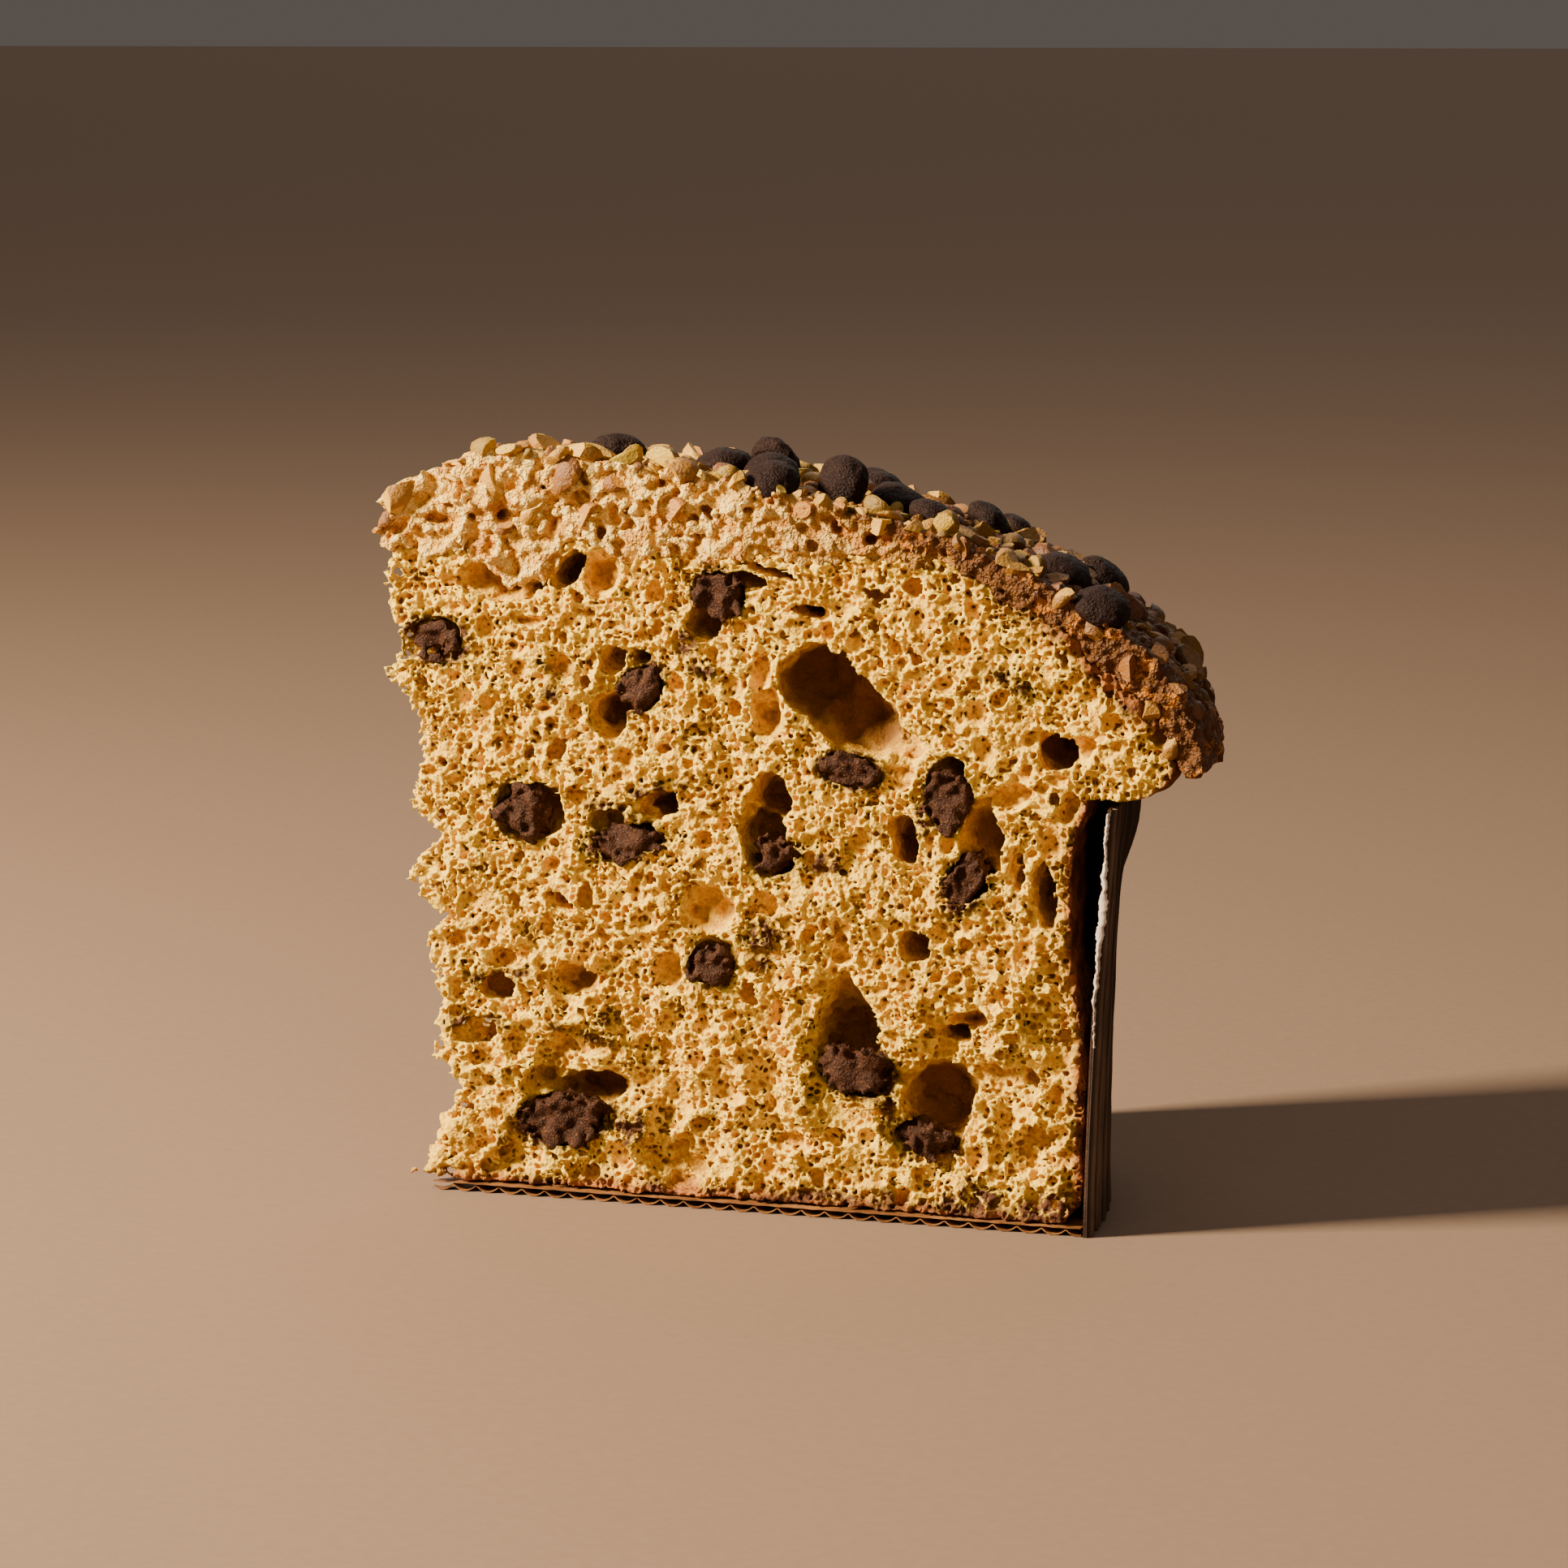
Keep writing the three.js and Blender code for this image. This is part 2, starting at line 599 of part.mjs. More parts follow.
const slice = new THREE.Group();
slice.add(piece("crumb", geometryOf(crumbSolid()), "crumb"));
slice.add(piece("glaze", geometryOf(glazeSolid()), "glaze"));
slice.add(piece("paper_wall", wallGeometry(), "paper"));
slice.add(piece("paper_base", geometryOf(baseSolid()), "paper"));
NEAR_CHUNKS.forEach((chunk, i) => {
  const made = onNearCut(chunk).intersect(nearCut);
  slice.add(piece("chunk_near_" + number(i), geometryOf(made), "chocolate"));
});
REAR_CHUNKS.forEach((chunk, i) => {
  const made = onRearCut(chunk).intersect(rearCut);
  slice.add(piece("chunk_rear_" + number(i), geometryOf(made), "chocolate"));
});
DROPS.forEach((drop, i) => {
  slice.add(piece("drop_" + number(i), geometryOf(dropSolid(drop)), "chocolate"));
});

const bounds = new THREE.Box3().setFromObject(slice);
const middle = bounds.getCenter(new THREE.Vector3());
slice.position.set(-middle.x, -middle.y, -bounds.min.z);

const panettone = new THREE.Group();
panettone.add(slice);
export default panettone;
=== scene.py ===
"""The looks of a panettone slice: an eighth of a low, domed cake, still in its paper mould.

The crumb is a foam torn open by the knife. Over it lies a sugary nut glaze with chopped nuts
and chocolate drops, and under and behind it the corrugated paper of the mould. Lengths are in
millimetres round the cake's own axis, with the near cut in the XZ plane, until a piece is
placed, when they become metres in the part's frame.
"""

import itertools
import logging
import math
from dataclasses import dataclass, field
from enum import Enum
from functools import partial
from typing import Callable, Iterable, Sequence

import bpy
import numpy as np
import openvdb
from mathutils import Matrix, Quaternion, Vector, noise

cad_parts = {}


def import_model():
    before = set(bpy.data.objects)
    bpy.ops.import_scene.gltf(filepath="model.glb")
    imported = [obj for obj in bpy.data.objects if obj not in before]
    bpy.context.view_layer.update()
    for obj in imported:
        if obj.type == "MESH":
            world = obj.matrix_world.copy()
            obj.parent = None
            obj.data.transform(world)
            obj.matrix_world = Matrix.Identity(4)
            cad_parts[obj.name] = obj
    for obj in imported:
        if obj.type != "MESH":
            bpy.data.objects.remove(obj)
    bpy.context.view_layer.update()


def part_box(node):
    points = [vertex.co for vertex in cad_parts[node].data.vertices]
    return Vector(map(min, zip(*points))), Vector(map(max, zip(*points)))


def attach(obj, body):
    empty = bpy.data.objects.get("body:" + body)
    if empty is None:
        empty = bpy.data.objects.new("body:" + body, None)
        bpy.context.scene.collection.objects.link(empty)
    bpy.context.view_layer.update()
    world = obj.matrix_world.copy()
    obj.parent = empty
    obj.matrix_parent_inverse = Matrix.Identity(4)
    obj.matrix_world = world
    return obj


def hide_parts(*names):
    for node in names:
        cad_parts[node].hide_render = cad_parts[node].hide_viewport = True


MM = 0.001
LOG = logging.getLogger("panettone")
Colour = tuple[float, float, float]
Array = np.ndarray
Piece = bpy.types.Object
Socket = bpy.types.NodeSocket

# Neighbouring pieces overlap by LAP. One of them lies lower there by LAP_STEP, over LAP_FADE.
LAP = 0.8
LAP_STEP = 0.05
LAP_FADE = 1.2

# How far the seam under the glaze has sunk, as radius and depth.
SEAM_SAG = ((0, 0.2), (62, 0.8), (84, 0.7), (96, 2.2), (111, 4.4), (117, 6.4), (122, 7.4))


def seeded(seed: int) -> np.random.Generator:
    """A repeatable stream of random numbers."""
    return np.random.default_rng(seed)


def smoothstep(value: Array | float, low: float, high: float) -> Array | float:
    """Rise smoothly from 0 at low to 1 at high."""
    share = np.clip((value - low) / (high - low), 0.0, 1.0)
    return share * share * (3.0 - 2.0 * share)


def tilted(angle: float) -> Array:
    """The directions of three axes, turned by an angle in the plane of a cut."""
    right = (math.cos(angle), 0.0, math.sin(angle))
    up = (-math.sin(angle), 0.0, math.cos(angle))
    return np.array([right, (0.0, 1.0, 0.0), up])


def random_turn(draw: np.random.Generator) -> Array:
    """The directions of three axes, turned at random."""
    return np.array(Quaternion(draw.normal(size=3), draw.uniform(0, math.pi)).to_matrix())


def half_of(distance: Array, across: Array, far: bool) -> Array:
    """The part of a solid on one side of the plane where across is 0, with the lap."""
    if far:
        distance = distance + LAP_STEP * (1 - smoothstep(across, 0.0, LAP_FADE))
        return np.maximum(distance, -across)
    return np.maximum(distance, across - LAP)


class Cut(Enum):
    """The two cuts of the slice."""

    NEAR = "near"
    FAR = "far"


@dataclass(frozen=True)
class Cake:
    """The cake that the slice is cut from, as sizes round its axis, and its place in the frame."""

    mould_radius: float = 103.9
    wedge_deg: float = 45.0
    apex_lean: float = 10.5
    lean_height: float = 106.0
    dome_radius: float = 120.5
    dome_height: float = 42.5
    dome_base_z: float = 72.0
    overhang_z: float = 65.6
    clearance: float = 0.3
    paper: float = 0.4
    flute_depth: float = 1.2
    axis_x: float = 0.0
    axis_y: float = 0.0

    @property
    def crumb_side(self) -> float:
        """Radius of the crumb inside the mould."""
        return self.mould_radius - self.paper - 2 * self.clearance

    @property
    def crumb_floor(self) -> float:
        """Height of the crumb's underside, on the thin liner."""
        return self.flute_depth + 0.32

    @property
    def along_far_cut(self) -> Vector:
        """Direction of the far cut from the axis to the rim."""
        angle = math.radians(self.wedge_deg)
        return Vector((math.cos(angle), math.sin(angle), 0.0))

    @property
    def far_normal(self) -> Vector:
        """Outward normal of the far cut, which leans with the knife."""
        up = Vector((-self.apex_lean, 0.0, self.lean_height))
        return up.cross(self.along_far_cut).normalized()

    def apex_x(self, z: float) -> float:
        """X of the slice's thin edge at a height."""
        return -self.apex_lean * z / self.lean_height

    def dome_z(self, radius: Array | float) -> Array | float:
        """Height of the glaze's outer surface at a radius."""
        share = np.minimum(1.0, np.abs(radius) / self.dome_radius)
        return self.dome_base_z + self.dome_height * np.sqrt(1.0 - share * share)

    def dome_normal(self, x: float, y: float, z: float) -> Vector:
        """Outward direction of the dome at a point on it."""
        across = 1.0 / self.dome_radius**2
        return Vector((x * across, y * across, (z - self.dome_base_z) / self.dome_height**2)).normalized()

    def glaze_depth(self, radius: Array | float) -> Array | float:
        """Thickness of the glaze at a radius."""
        share = np.minimum(1.0, np.abs(radius) / 80.0)
        return 3.0 + 12.0 * (1.0 - share * share)

    def seam_z(self, x: Array, y: Array) -> Array:
        """Height of the uneven seam where the glaze has sunk into the crumb."""
        radius = np.sqrt(x * x + y * y)
        radii, depths = np.array(SEAM_SAG).T
        sag = np.interp(radius, radii, depths)
        sag += 4.4 * np.exp(-(((x - 15.2) / 7.2) ** 4) - (y / 6.0) ** 2)
        sag -= 2.6 * np.exp(-(((x - 25.0) / 3.6) ** 2) - (y / 7.0) ** 2)
        sag += 0.7 * np.sin(0.42 * x + 0.31 * y + 0.6) + 0.55 * np.sin(0.97 * x - 0.71 * y + 2.1)
        sag += 0.35 * np.sin(2.3 * x + 1.7 * y) + 0.22 * np.sin(4.9 * x - 3.1 * y + 1.0)
        return (self.dome_z(radius) - self.glaze_depth(radius) - sag).astype(np.float32)

    def on_cut(self, cut: Cut, u: Array, v: Array, w: Array) -> tuple[Array, ...]:
        """Points given by their place on a cut, as x, y and z round the axis.

        Args:
            cut: The cut.
            u: Distance along it from the thin edge.
            v: Depth behind it.
            w: Height.

        Returns:
            x, y and z.
        """
        if cut is Cut.NEAR:
            return u, v, w
        way = self.along_far_cut
        x = way.x * u + way.y * v - w * (self.apex_lean / self.lean_height)
        return x, way.y * u - way.x * v, w

    def from_cut(self, cut: Cut, points: Array) -> Array:
        """Rows of place along a cut, depth and height, as points of the frame in metres."""
        x, y, z = self.on_cut(cut, points[:, 0], points[:, 1], points[:, 2])
        return self.placed(np.stack([x, y, z], 1))

    def to_cut(self, cut: Cut, points: Array) -> Array:
        """Points of the frame in metres, as rows of place along a cut, depth and height."""
        x, y, z = (points / MM - np.array([self.axis_x, self.axis_y, 0.0])).T
        if cut is Cut.NEAR:
            return np.stack([x, y, z], 1)
        way = self.along_far_cut
        x = x + z * (self.apex_lean / self.lean_height)
        return np.stack([way.x * x + way.y * y, way.y * x - way.x * y, z], 1)

    def placed(self, points: Array) -> Array:
        """Points round the axis in millimetres, as points of the frame in metres."""
        return (np.asarray(points) + np.array([self.axis_x, self.axis_y, 0.0])) * MM


def cake_in_frame() -> Cake:
    """The cake, placed by the box of its paper base."""
    low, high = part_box("paper_base")
    sizes = Cake()
    axis_x = high[0] / MM - (sizes.mould_radius - sizes.clearance)
    return Cake(axis_x=axis_x, axis_y=low[1] / MM)


def upsampled(lattice: Array, shape: Sequence[int], step: float) -> Array:
    """A coarse lattice of values, smoothly spread over a finer grid.

    Args:
        lattice: Random values at the nodes of a cubic lattice.
        shape: Number of samples wanted along each axis.
        step: Size of a sample in units of the lattice.

    Returns:
        The values on the finer grid.
    """
    values = lattice
    for axis, count in enumerate(shape):
        at = np.arange(count) * step
        cell = np.floor(at).astype(int)
        share = (at - cell).astype(np.float32)
        share = share * share * (3 - 2 * share)
        share = share.reshape([-1 if i == axis else 1 for i in range(3)])
        values = np.take(values, cell, axis) * (1 - share) + np.take(values, cell + 1, axis) * share
    return values


class VoxelBlock:
    """A block of space sampled on a cubic grid, in millimetres round the cake's axis.

    Args:
        low: Lowest corner.
        high: Highest corner.
        voxel: Side of a voxel.
    """

    def __init__(self, low: Sequence[float], high: Sequence[float], voxel: float) -> None:
        """Lay the grid from corner to corner."""
        self.low = np.array(low, float)
        self.voxel = voxel
        self.shape = tuple(int(math.ceil((b - a) / voxel)) + 1 for a, b in zip(low, high))

    def axes(self) -> tuple[Array, Array, Array]:
        """Coordinates along the three axes, shaped to broadcast against each other."""
        lines = [self.low[i] + np.arange(n) * self.voxel for i, n in enumerate(self.shape)]
        return (
            lines[0].astype(np.float32).reshape(-1, 1, 1),
            lines[1].astype(np.float32).reshape(1, -1, 1),
            lines[2].astype(np.float32).reshape(1, 1, -1),
        )

    def filled(self, value: float) -> Array:
        """The whole block at one value."""
        return np.full(self.shape, value, np.float32)

    def noise(self, size: float, seed: int) -> Array:
        """Smooth random values from -1 to 1 with lumps of a size, over the whole block."""
        coarse = [int(n * self.voxel / size) + 3 for n in self.shape]
        lattice = seeded(seed).uniform(-1, 1, coarse).astype(np.float32)
        return upsampled(lattice, self.shape, self.voxel / size)

    def index(self, points: Array) -> tuple[Array, ...]:
        """Grid indices of the samples nearest to some points."""
        cells = np.rint((points - self.low) / self.voxel).astype(int)
        return tuple(np.clip(cells[..., i], 0, self.shape[i] - 1) for i in range(3))

    def stamp(
        self,
        values: Array,
        centre: Sequence[float],
        radii: Sequence[float],
        turn: Array,
        reach: float,
        taper: float = 0.0,
    ) -> None:
        """Lower the values to the distance from an ellipsoid, where that is less.

        Args:
            values: Distances over the block, changed in place.
            centre: Centre of the ellipsoid.
            radii: Its three half axes.
            turn: Rows are the directions of those axes.
            reach: How far outside the ellipsoid the distance is still wanted.
            taper: How much narrower it is at the top than in the middle.
        """
        big = max(radii) + reach
        first = [max(0, int((c - big - lo) / self.voxel)) for c, lo in zip(centre, self.low)]
        last = [
            min(n, int((c + big - lo) / self.voxel) + 2)
            for c, lo, n in zip(centre, self.low, self.shape)
        ]
        if any(a >= b for a, b in zip(first, last)):
            return
        dx, dy, dz = (
            (self.low[i] + np.arange(first[i], last[i]) * self.voxel - centre[i]).astype(np.float32)
            for i in range(3)
        )
        dx, dy, dz = dx[:, None, None], dy[None, :, None], dz[None, None, :]
        parts = [turn[i][0] * dx + turn[i][1] * dy + turn[i][2] * dz for i in range(3)]
        narrow = 1.0 if not taper else 1.0 - taper * np.clip(parts[2] / radii[2], -1, 1)
        far = (parts[0] / (radii[0] * narrow)) ** 2
        far = far + (parts[1] / (radii[1] * narrow)) ** 2 + (parts[2] / radii[2]) ** 2
        distance = (np.sqrt(far) - 1) * min(radii)
        block = values[first[0] : last[0], first[1] : last[1], first[2] : last[2]]
        np.minimum(block, distance, out=block)

    def blurred(self, values: Array, half_width: float) -> Array:
        """Values averaged over a cube of a half width round each sample."""
        half = max(1, int(round(half_width / self.voxel)))
        result = values.astype(np.float32)
        for axis in range(3):
            edge = [(0, 0)] * 3
            edge[axis] = (half + 1, half)
            total = np.cumsum(np.pad(result, edge, mode="edge"), axis=axis, dtype=np.float32)
            count = self.shape[axis]
            upper = np.take(total, np.arange(count) + 2 * half + 1, axis)
            lower = np.take(total, np.arange(count), axis)
            result = (upper - lower) / (2 * half + 1)
        return result

    def froth(self, size: float, seed: int, layers: int) -> tuple[Array, Array]:
        """The cells of a random froth in the first layers of the block.

        Args:
            size: Mean width of a cell.
            seed: Seed of the cells' places.
            layers: Number of samples wanted along the second axis.

        Returns:
            A value that is 0 on the walls between the cells and rises towards their middles,
            and a number from -1 to 1 for the cell that each sample is in.
        """
        shape = (self.shape[0], layers, self.shape[2])
        counts = [int(n * self.voxel / size) + 4 for n in shape]
        spots = seeded(seed).uniform(0.08, 0.92, (*counts, 3)).astype(np.float32)
        at = [np.arange(n) * self.voxel / size + 1.0 for n in shape]
        cell = [np.floor(a).astype(int) for a in at]
        share = [(a - c).astype(np.float32) for a, c in zip(at, cell)]
        share = [s.reshape([-1 if i == axis else 1 for i in range(3)]) for axis, s in enumerate(share)]
        best = np.full(shape, 9.0, np.float32)
        second = best.copy()
        number = np.zeros(shape, np.float32)
        for step in itertools.product((-1, 0, 1), repeat=3):
            spot = spots[np.ix_(*(c + s for c, s in zip(cell, step)))]
            far = sum((spot[..., i] + (step[i] - share[i])) ** 2 for i in range(3))
            np.minimum(second, np.maximum(best, far), out=second)
            np.copyto(number, np.mod(spot[..., 0] * 47.0, 2.0) - 1.0, where=far < best)
            np.minimum(best, far, out=best)
        return (np.sqrt(second) - np.sqrt(best)) * size, number

    def surface(
        self,
        values: Array,
        place: Callable[[Array], Array],
        name: str,
        turned: bool = False,
    ) -> Piece:
        """The zero level of a block of distances as a new object.

        Args:
            values: Distances, negative inside the solid.
            place: Turns the block's points into points of the frame in metres.
            name: Name of the new object.
            turned: Whether the placing mirrors the block.

        Returns:
            The object, closed and facing outwards.
        """
        band = 3 * self.voxel
        grid = openvdb.FloatGrid(band)
        grid.copyFromArray(np.clip(values, -band, band))
        points, triangles, quads = grid.convertToPolygons(0.0, 0.0)
        points = points.astype(float) * self.voxel + self.low
        faces = [f[:, ::-1] if turned else f for f in (triangles, quads)]
        return mesh_object(name, place(points), faces)


def connected(inside: Array, start: Array) -> Array:
    """The samples of a region that can be reached from a start within it."""
    reached = start & inside
    known = -1
    while known != (known := np.count_nonzero(reached)):
        for axis in range(3):
            steps = np.arange(1, inside.shape[axis] + 1, dtype=np.int16)
            steps = steps.reshape([-1 if i == axis else 1 for i in range(3)])
            for back in (False, True):
                room = np.flip(inside, axis) if back else inside
                seen = np.flip(reached, axis) if back else reached
                wall = np.maximum.accumulate(np.where(room, np.int16(0), steps), axis)
                last = np.maximum.accumulate(np.where(seen, steps, np.int16(0)), axis)
                seen |= room & (last > wall)
    return reached


def mesh_object(name: str, points: Array, polygons: Iterable[Array]) -> Piece:
    """A new object from points in metres and arrays of polygons with one size each."""
    mesh = bpy.data.meshes.new(name)
    kinds = [np.asarray(p, np.int32) for p in polygons if len(p)]
    loops = np.concatenate([p.ravel() for p in kinds])
    sizes = np.concatenate([np.full(len(p), p.shape[1], np.int32) for p in kinds])
    mesh.vertices.add(len(points))
    mesh.vertices.foreach_set("co", np.asarray(points, np.float32).ravel())
    mesh.loops.add(len(loops))
    mesh.loops.foreach_set("vertex_index", loops)
    mesh.polygons.add(len(sizes))
    mesh.polygons.foreach_set("loop_start", np.concatenate([[0], np.cumsum(sizes)[:-1]]).astype(np.int32))
    mesh.polygons.foreach_set("use_smooth", np.ones(len(sizes), bool))
    mesh.update(calc_edges=True)
    mesh.validate()
    made = bpy.data.objects.new(name, mesh)
    bpy.context.scene.collection.objects.link(made)
    return made


def add_values(piece: Piece, name: str, values: Array) -> None:
    """Give each vertex of a piece a number that its finish can read."""
    attribute = piece.data.attributes.new(name, "FLOAT", "POINT")
    attribute.data.foreach_set("value", np.asarray(values, np.float32))


def only(piece: Piece) -> None:
    """Select one object and nothing else."""
    bpy.ops.object.select_all(action="DESELECT")
    piece.select_set(True)
    bpy.context.view_layer.objects.active = piece


def apply_modifier(piece: Piece, kind: str, **settings: object) -> None:
    """Give a piece a modifier and apply it."""
    only(piece)
    modifier = piece.modifiers.new(kind.lower(), kind)
    for name, value in settings.items():
        setattr(modifier, name, value)
    bpy.ops.object.modifier_apply(modifier=modifier.name)


def bevelled(piece: Piece, width: float, segments: int, degrees: float) -> None:
    """Round the edges of a piece that turn by more than an angle."""
    sizes = {"width": width, "segments": segments}
    apply_modifier(piece, "BEVEL", **sizes, limit_method="ANGLE", angle_limit=math.radians(degrees))


def thinned(piece: Piece, most: int) -> None:
    """Merge the faces of a dense piece until it has at most a number of triangles."""
    share = most / max(1, triangles_of(piece))
    if share < 1:
        apply_modifier(piece, "DECIMATE", ratio=share)
        piece.data.polygons.foreach_set("use_smooth", np.ones(len(piece.data.polygons), bool))


def vertices_of(piece: Piece) -> Array:
    """The places of a piece's vertices, in metres."""
    points = np.empty(len(piece.data.vertices) * 3, np.float32)
    piece.data.vertices.foreach_get("co", points)
    return points.reshape(-1, 3).astype(float)


def stand_in(piece: Piece, finish: bpy.types.Material, slot: str, *nodes: str) -> None:
    """Give a piece its finish and its place in the part.

    Args:
        piece: The piece.
        finish: Its material.
        slot: The material slot of the part that it belongs to; not used.
        nodes: The solids of the part that it stands for.
    """
    piece.data.materials.clear()
    piece.data.materials.append(finish)
    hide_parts(*nodes)
    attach(piece, "root")


def triangles_of(piece: Piece) -> int:
    """Number of triangles in a piece."""
    return len(piece.data.loops) - 2 * len(piece.data.polygons)


class Graph:
    """A short way to write a node material.

    Args:
        name: Name of the material.
    """

    def __init__(self, name: str) -> None:
        """Start the material with its shader and its place in space."""
        self.material = bpy.data.materials.new(name)
        self.material.use_nodes = True
        self.nodes = self.material.node_tree.nodes
        self.links = self.material.node_tree.links
        self.shader = self.nodes["Principled BSDF"]
        self.place = self.nodes.new("ShaderNodeTexCoord").outputs["Object"]

    def set(self, socket: Socket, value: object) -> None:
        """Link a socket to another, or give it a constant."""
        if isinstance(value, Socket):
            self.links.new(value, socket)
        elif isinstance(value, tuple) and len(value) == 3 and socket.type == "RGBA":
            socket.default_value = (*value, 1.0)
        else:
            socket.default_value = value

    def attribute(self, name: str) -> Socket:
        """A number stored on the vertices."""
        node = self.nodes.new("ShaderNodeAttribute")
        node.attribute_name = name
        return node.outputs["Fac"]

    def noise(self, size: float, detail: float = 3.0, rough: float = 0.6, warp: float = 0.0) -> Socket:
        """Cloudy values round 0.5, with lumps of a size in millimetres."""
        node = self.nodes.new("ShaderNodeTexNoise")
        self.links.new(self.place, node.inputs["Vector"])
        node.inputs["Scale"].default_value = 1.0 / (size * MM)
        node.inputs["Detail"].default_value = detail
        node.inputs["Roughness"].default_value = rough
        node.inputs["Distortion"].default_value = warp
        return node.outputs["Fac"]

    def cells(self, size: float, feature: str = "F1", spread: float = 1.0) -> Socket:
        """Distance in a pattern of cells of a size in millimetres."""
        node = self.nodes.new("ShaderNodeTexVoronoi")
        node.feature = feature
        self.links.new(self.place, node.inputs["Vector"])
        node.inputs["Scale"].default_value = 1.0 / (size * MM)
        node.inputs["Randomness"].default_value = spread
        return node.outputs["Distance"]

    def cell_colour(self, size: float) -> Socket:
        """A random number for each cell of a size in millimetres."""
        node = self.nodes.new("ShaderNodeTexVoronoi")
        self.links.new(self.place, node.inputs["Vector"])
        node.inputs["Scale"].default_value = 1.0 / (size * MM)
        split = self.nodes.new("ShaderNodeSeparateColor")
        self.links.new(node.outputs["Color"], split.inputs["Color"])
        return split.outputs["Red"]

    def math(self, operation: str, first: object, second: object = 0.0, clamp: bool = False) -> Socket:
        """A sum on two numbers."""
        node = self.nodes.new("ShaderNodeMath")
        node.operation = operation
        node.use_clamp = clamp
        self.set(node.inputs[0], first)
        self.set(node.inputs[1], second)
        return node.outputs[0]

    def plus(self, first: object, second: object, clamp: bool = False) -> Socket:
        """Two numbers added."""
        return self.math("ADD", first, second, clamp)

    def times(self, first: object, second: object) -> Socket:
        """Two numbers multiplied."""
        return self.math("MULTIPLY", first, second)

    def sway(self, cloud: Socket, height: float) -> Socket:
        """A cloudy value moved to lie round 0, with a height."""
        return self.times(self.math("SUBTRACT", cloud, 0.5), height)

    def soften(self, weight: float, radius: Colour, scale: float) -> None:
        """Let light into the material, as far as a scale in millimetres."""
        self.shader.inputs["Subsurface Weight"].default_value = weight
        self.shader.inputs["Subsurface Radius"].default_value = radius
        self.shader.inputs["Subsurface Scale"].default_value = scale * MM

    def rise(self, value: object, low: float, high: float) -> Socket:
        """Spread the stretch from low to high over 0 to 1."""
        node = self.nodes.new("ShaderNodeMapRange")
        node.interpolation_type = "SMOOTHSTEP"
        self.set(node.inputs["Value"], value)
        node.inputs["From Min"].default_value = low
        node.inputs["From Max"].default_value = high
        return node.outputs["Result"]

    def mix(self, share: object, first: object, second: object, mode: str = "MIX") -> Socket:
        """Mix two colours."""
        node = self.nodes.new("ShaderNodeMix")
        node.data_type = "RGBA"
        node.blend_type = mode
        self.set(node.inputs[0], share)
        self.set(node.inputs[6], first)
        self.set(node.inputs[7], second)
        return node.outputs[2]

    def bump(self, height: object, depth: float, under: object = None) -> Socket:
        """Relief whose full height is a depth in millimetres."""
        node = self.nodes.new("ShaderNodeBump")
        node.inputs["Distance"].default_value = depth * MM
        self.set(node.inputs["Height"], height)
        if under is not None:
            self.set(node.inputs["Normal"], under)
        return node.outputs["Normal"]

    def finish(self, colour: object, roughness: object, normal: object = None) -> bpy.types.Material:
        """Put colour, roughness and relief on the shader."""
        self.set(self.shader.inputs["Base Color"], colour)
        self.set(self.shader.inputs["Roughness"], roughness)
        if normal is not None:
            self.set(self.shader.inputs["Normal"], normal)
        return self.material


@dataclass(frozen=True)
class CrumbFinish:
    """Yellow crumb with a browned crust where it met the mould, its torn rims painted paler as highlight and
    its hollows painted amber to dark as shade.
    """

    # The rim colour carries painted highlight, and the two hollow colours after body are painted shade.
    rim: Colour = (0.98, 0.665, 0.066)
    body: Colour = (0.78, 0.425, 0.032)
    nook_shade: Colour = (0.28, 0.105, 0.005)
    cavern_shade: Colour = (0.17, 0.065, 0.005)
    crust: Colour = (0.34, 0.11, 0.02)
    deep_crust: Colour = (0.11, 0.033, 0.01)
    smear: Colour = (0.075, 0.022, 0.006)

    def material(self) -> bpy.types.Material:
        """Build the material, which reads the values open, depth, crust and smear; open and depth paint the
        shade in the hollows and the highlight on the rims.
        """
        graph = Graph("crumb")
        opened = graph.attribute("open")
        crust = graph.attribute("crust")
        patch = graph.noise(9.0, 3.0)
        grain = graph.noise(0.6, 3.0)
        # Painted highlight and shade: the more open the space round a point, the paler it is painted, from
        # hollow shade through body to the pale rim.
        light = graph.plus(opened, graph.sway(grain, 0.35))
        colour = graph.mix(graph.rise(light, 0.16, 0.44), self.nook_shade, self.body)
        colour = graph.mix(graph.rise(light, 0.42, 0.72), colour, self.rim)
        # Painted shade in the fine pores: the middles of small cells are darkened.
        pore_shade = graph.rise(graph.cells(1.05, "DISTANCE_TO_EDGE"), 0.04, 0.3)
        colour = graph.mix(graph.times(pore_shade, 0.3), colour, self.nook_shade)
        # Painted shade deep in the holes: the further behind the cut, the darker.
        colour = graph.mix(graph.rise(graph.attribute("depth"), 2.4, 9.0), colour, self.cavern_shade)
        tint = graph.mix(patch, (0.84, 0.74, 0.56), (1.0, 1.0, 1.0))
        colour = graph.mix(0.7, colour, tint, "MULTIPLY")
        browned = graph.mix(graph.rise(graph.noise(4.0, 4.0), 0.4, 0.62), self.crust, self.deep_crust)
        colour = graph.mix(crust, colour, browned)
        stain = graph.times(graph.attribute("smear"), graph.rise(graph.noise(1.6, 3.0), 0.34, 0.52))
        colour = graph.mix(stain, colour, self.smear)
        normal = graph.bump(graph.plus(graph.cells(0.55), grain), 0.2)
        graph.soften(0.1, (1.0, 0.65, 0.25), 1.2)
        graph.shader.inputs["Specular IOR Level"].default_value = 0.25
        return graph.finish(colour, 0.78, normal)


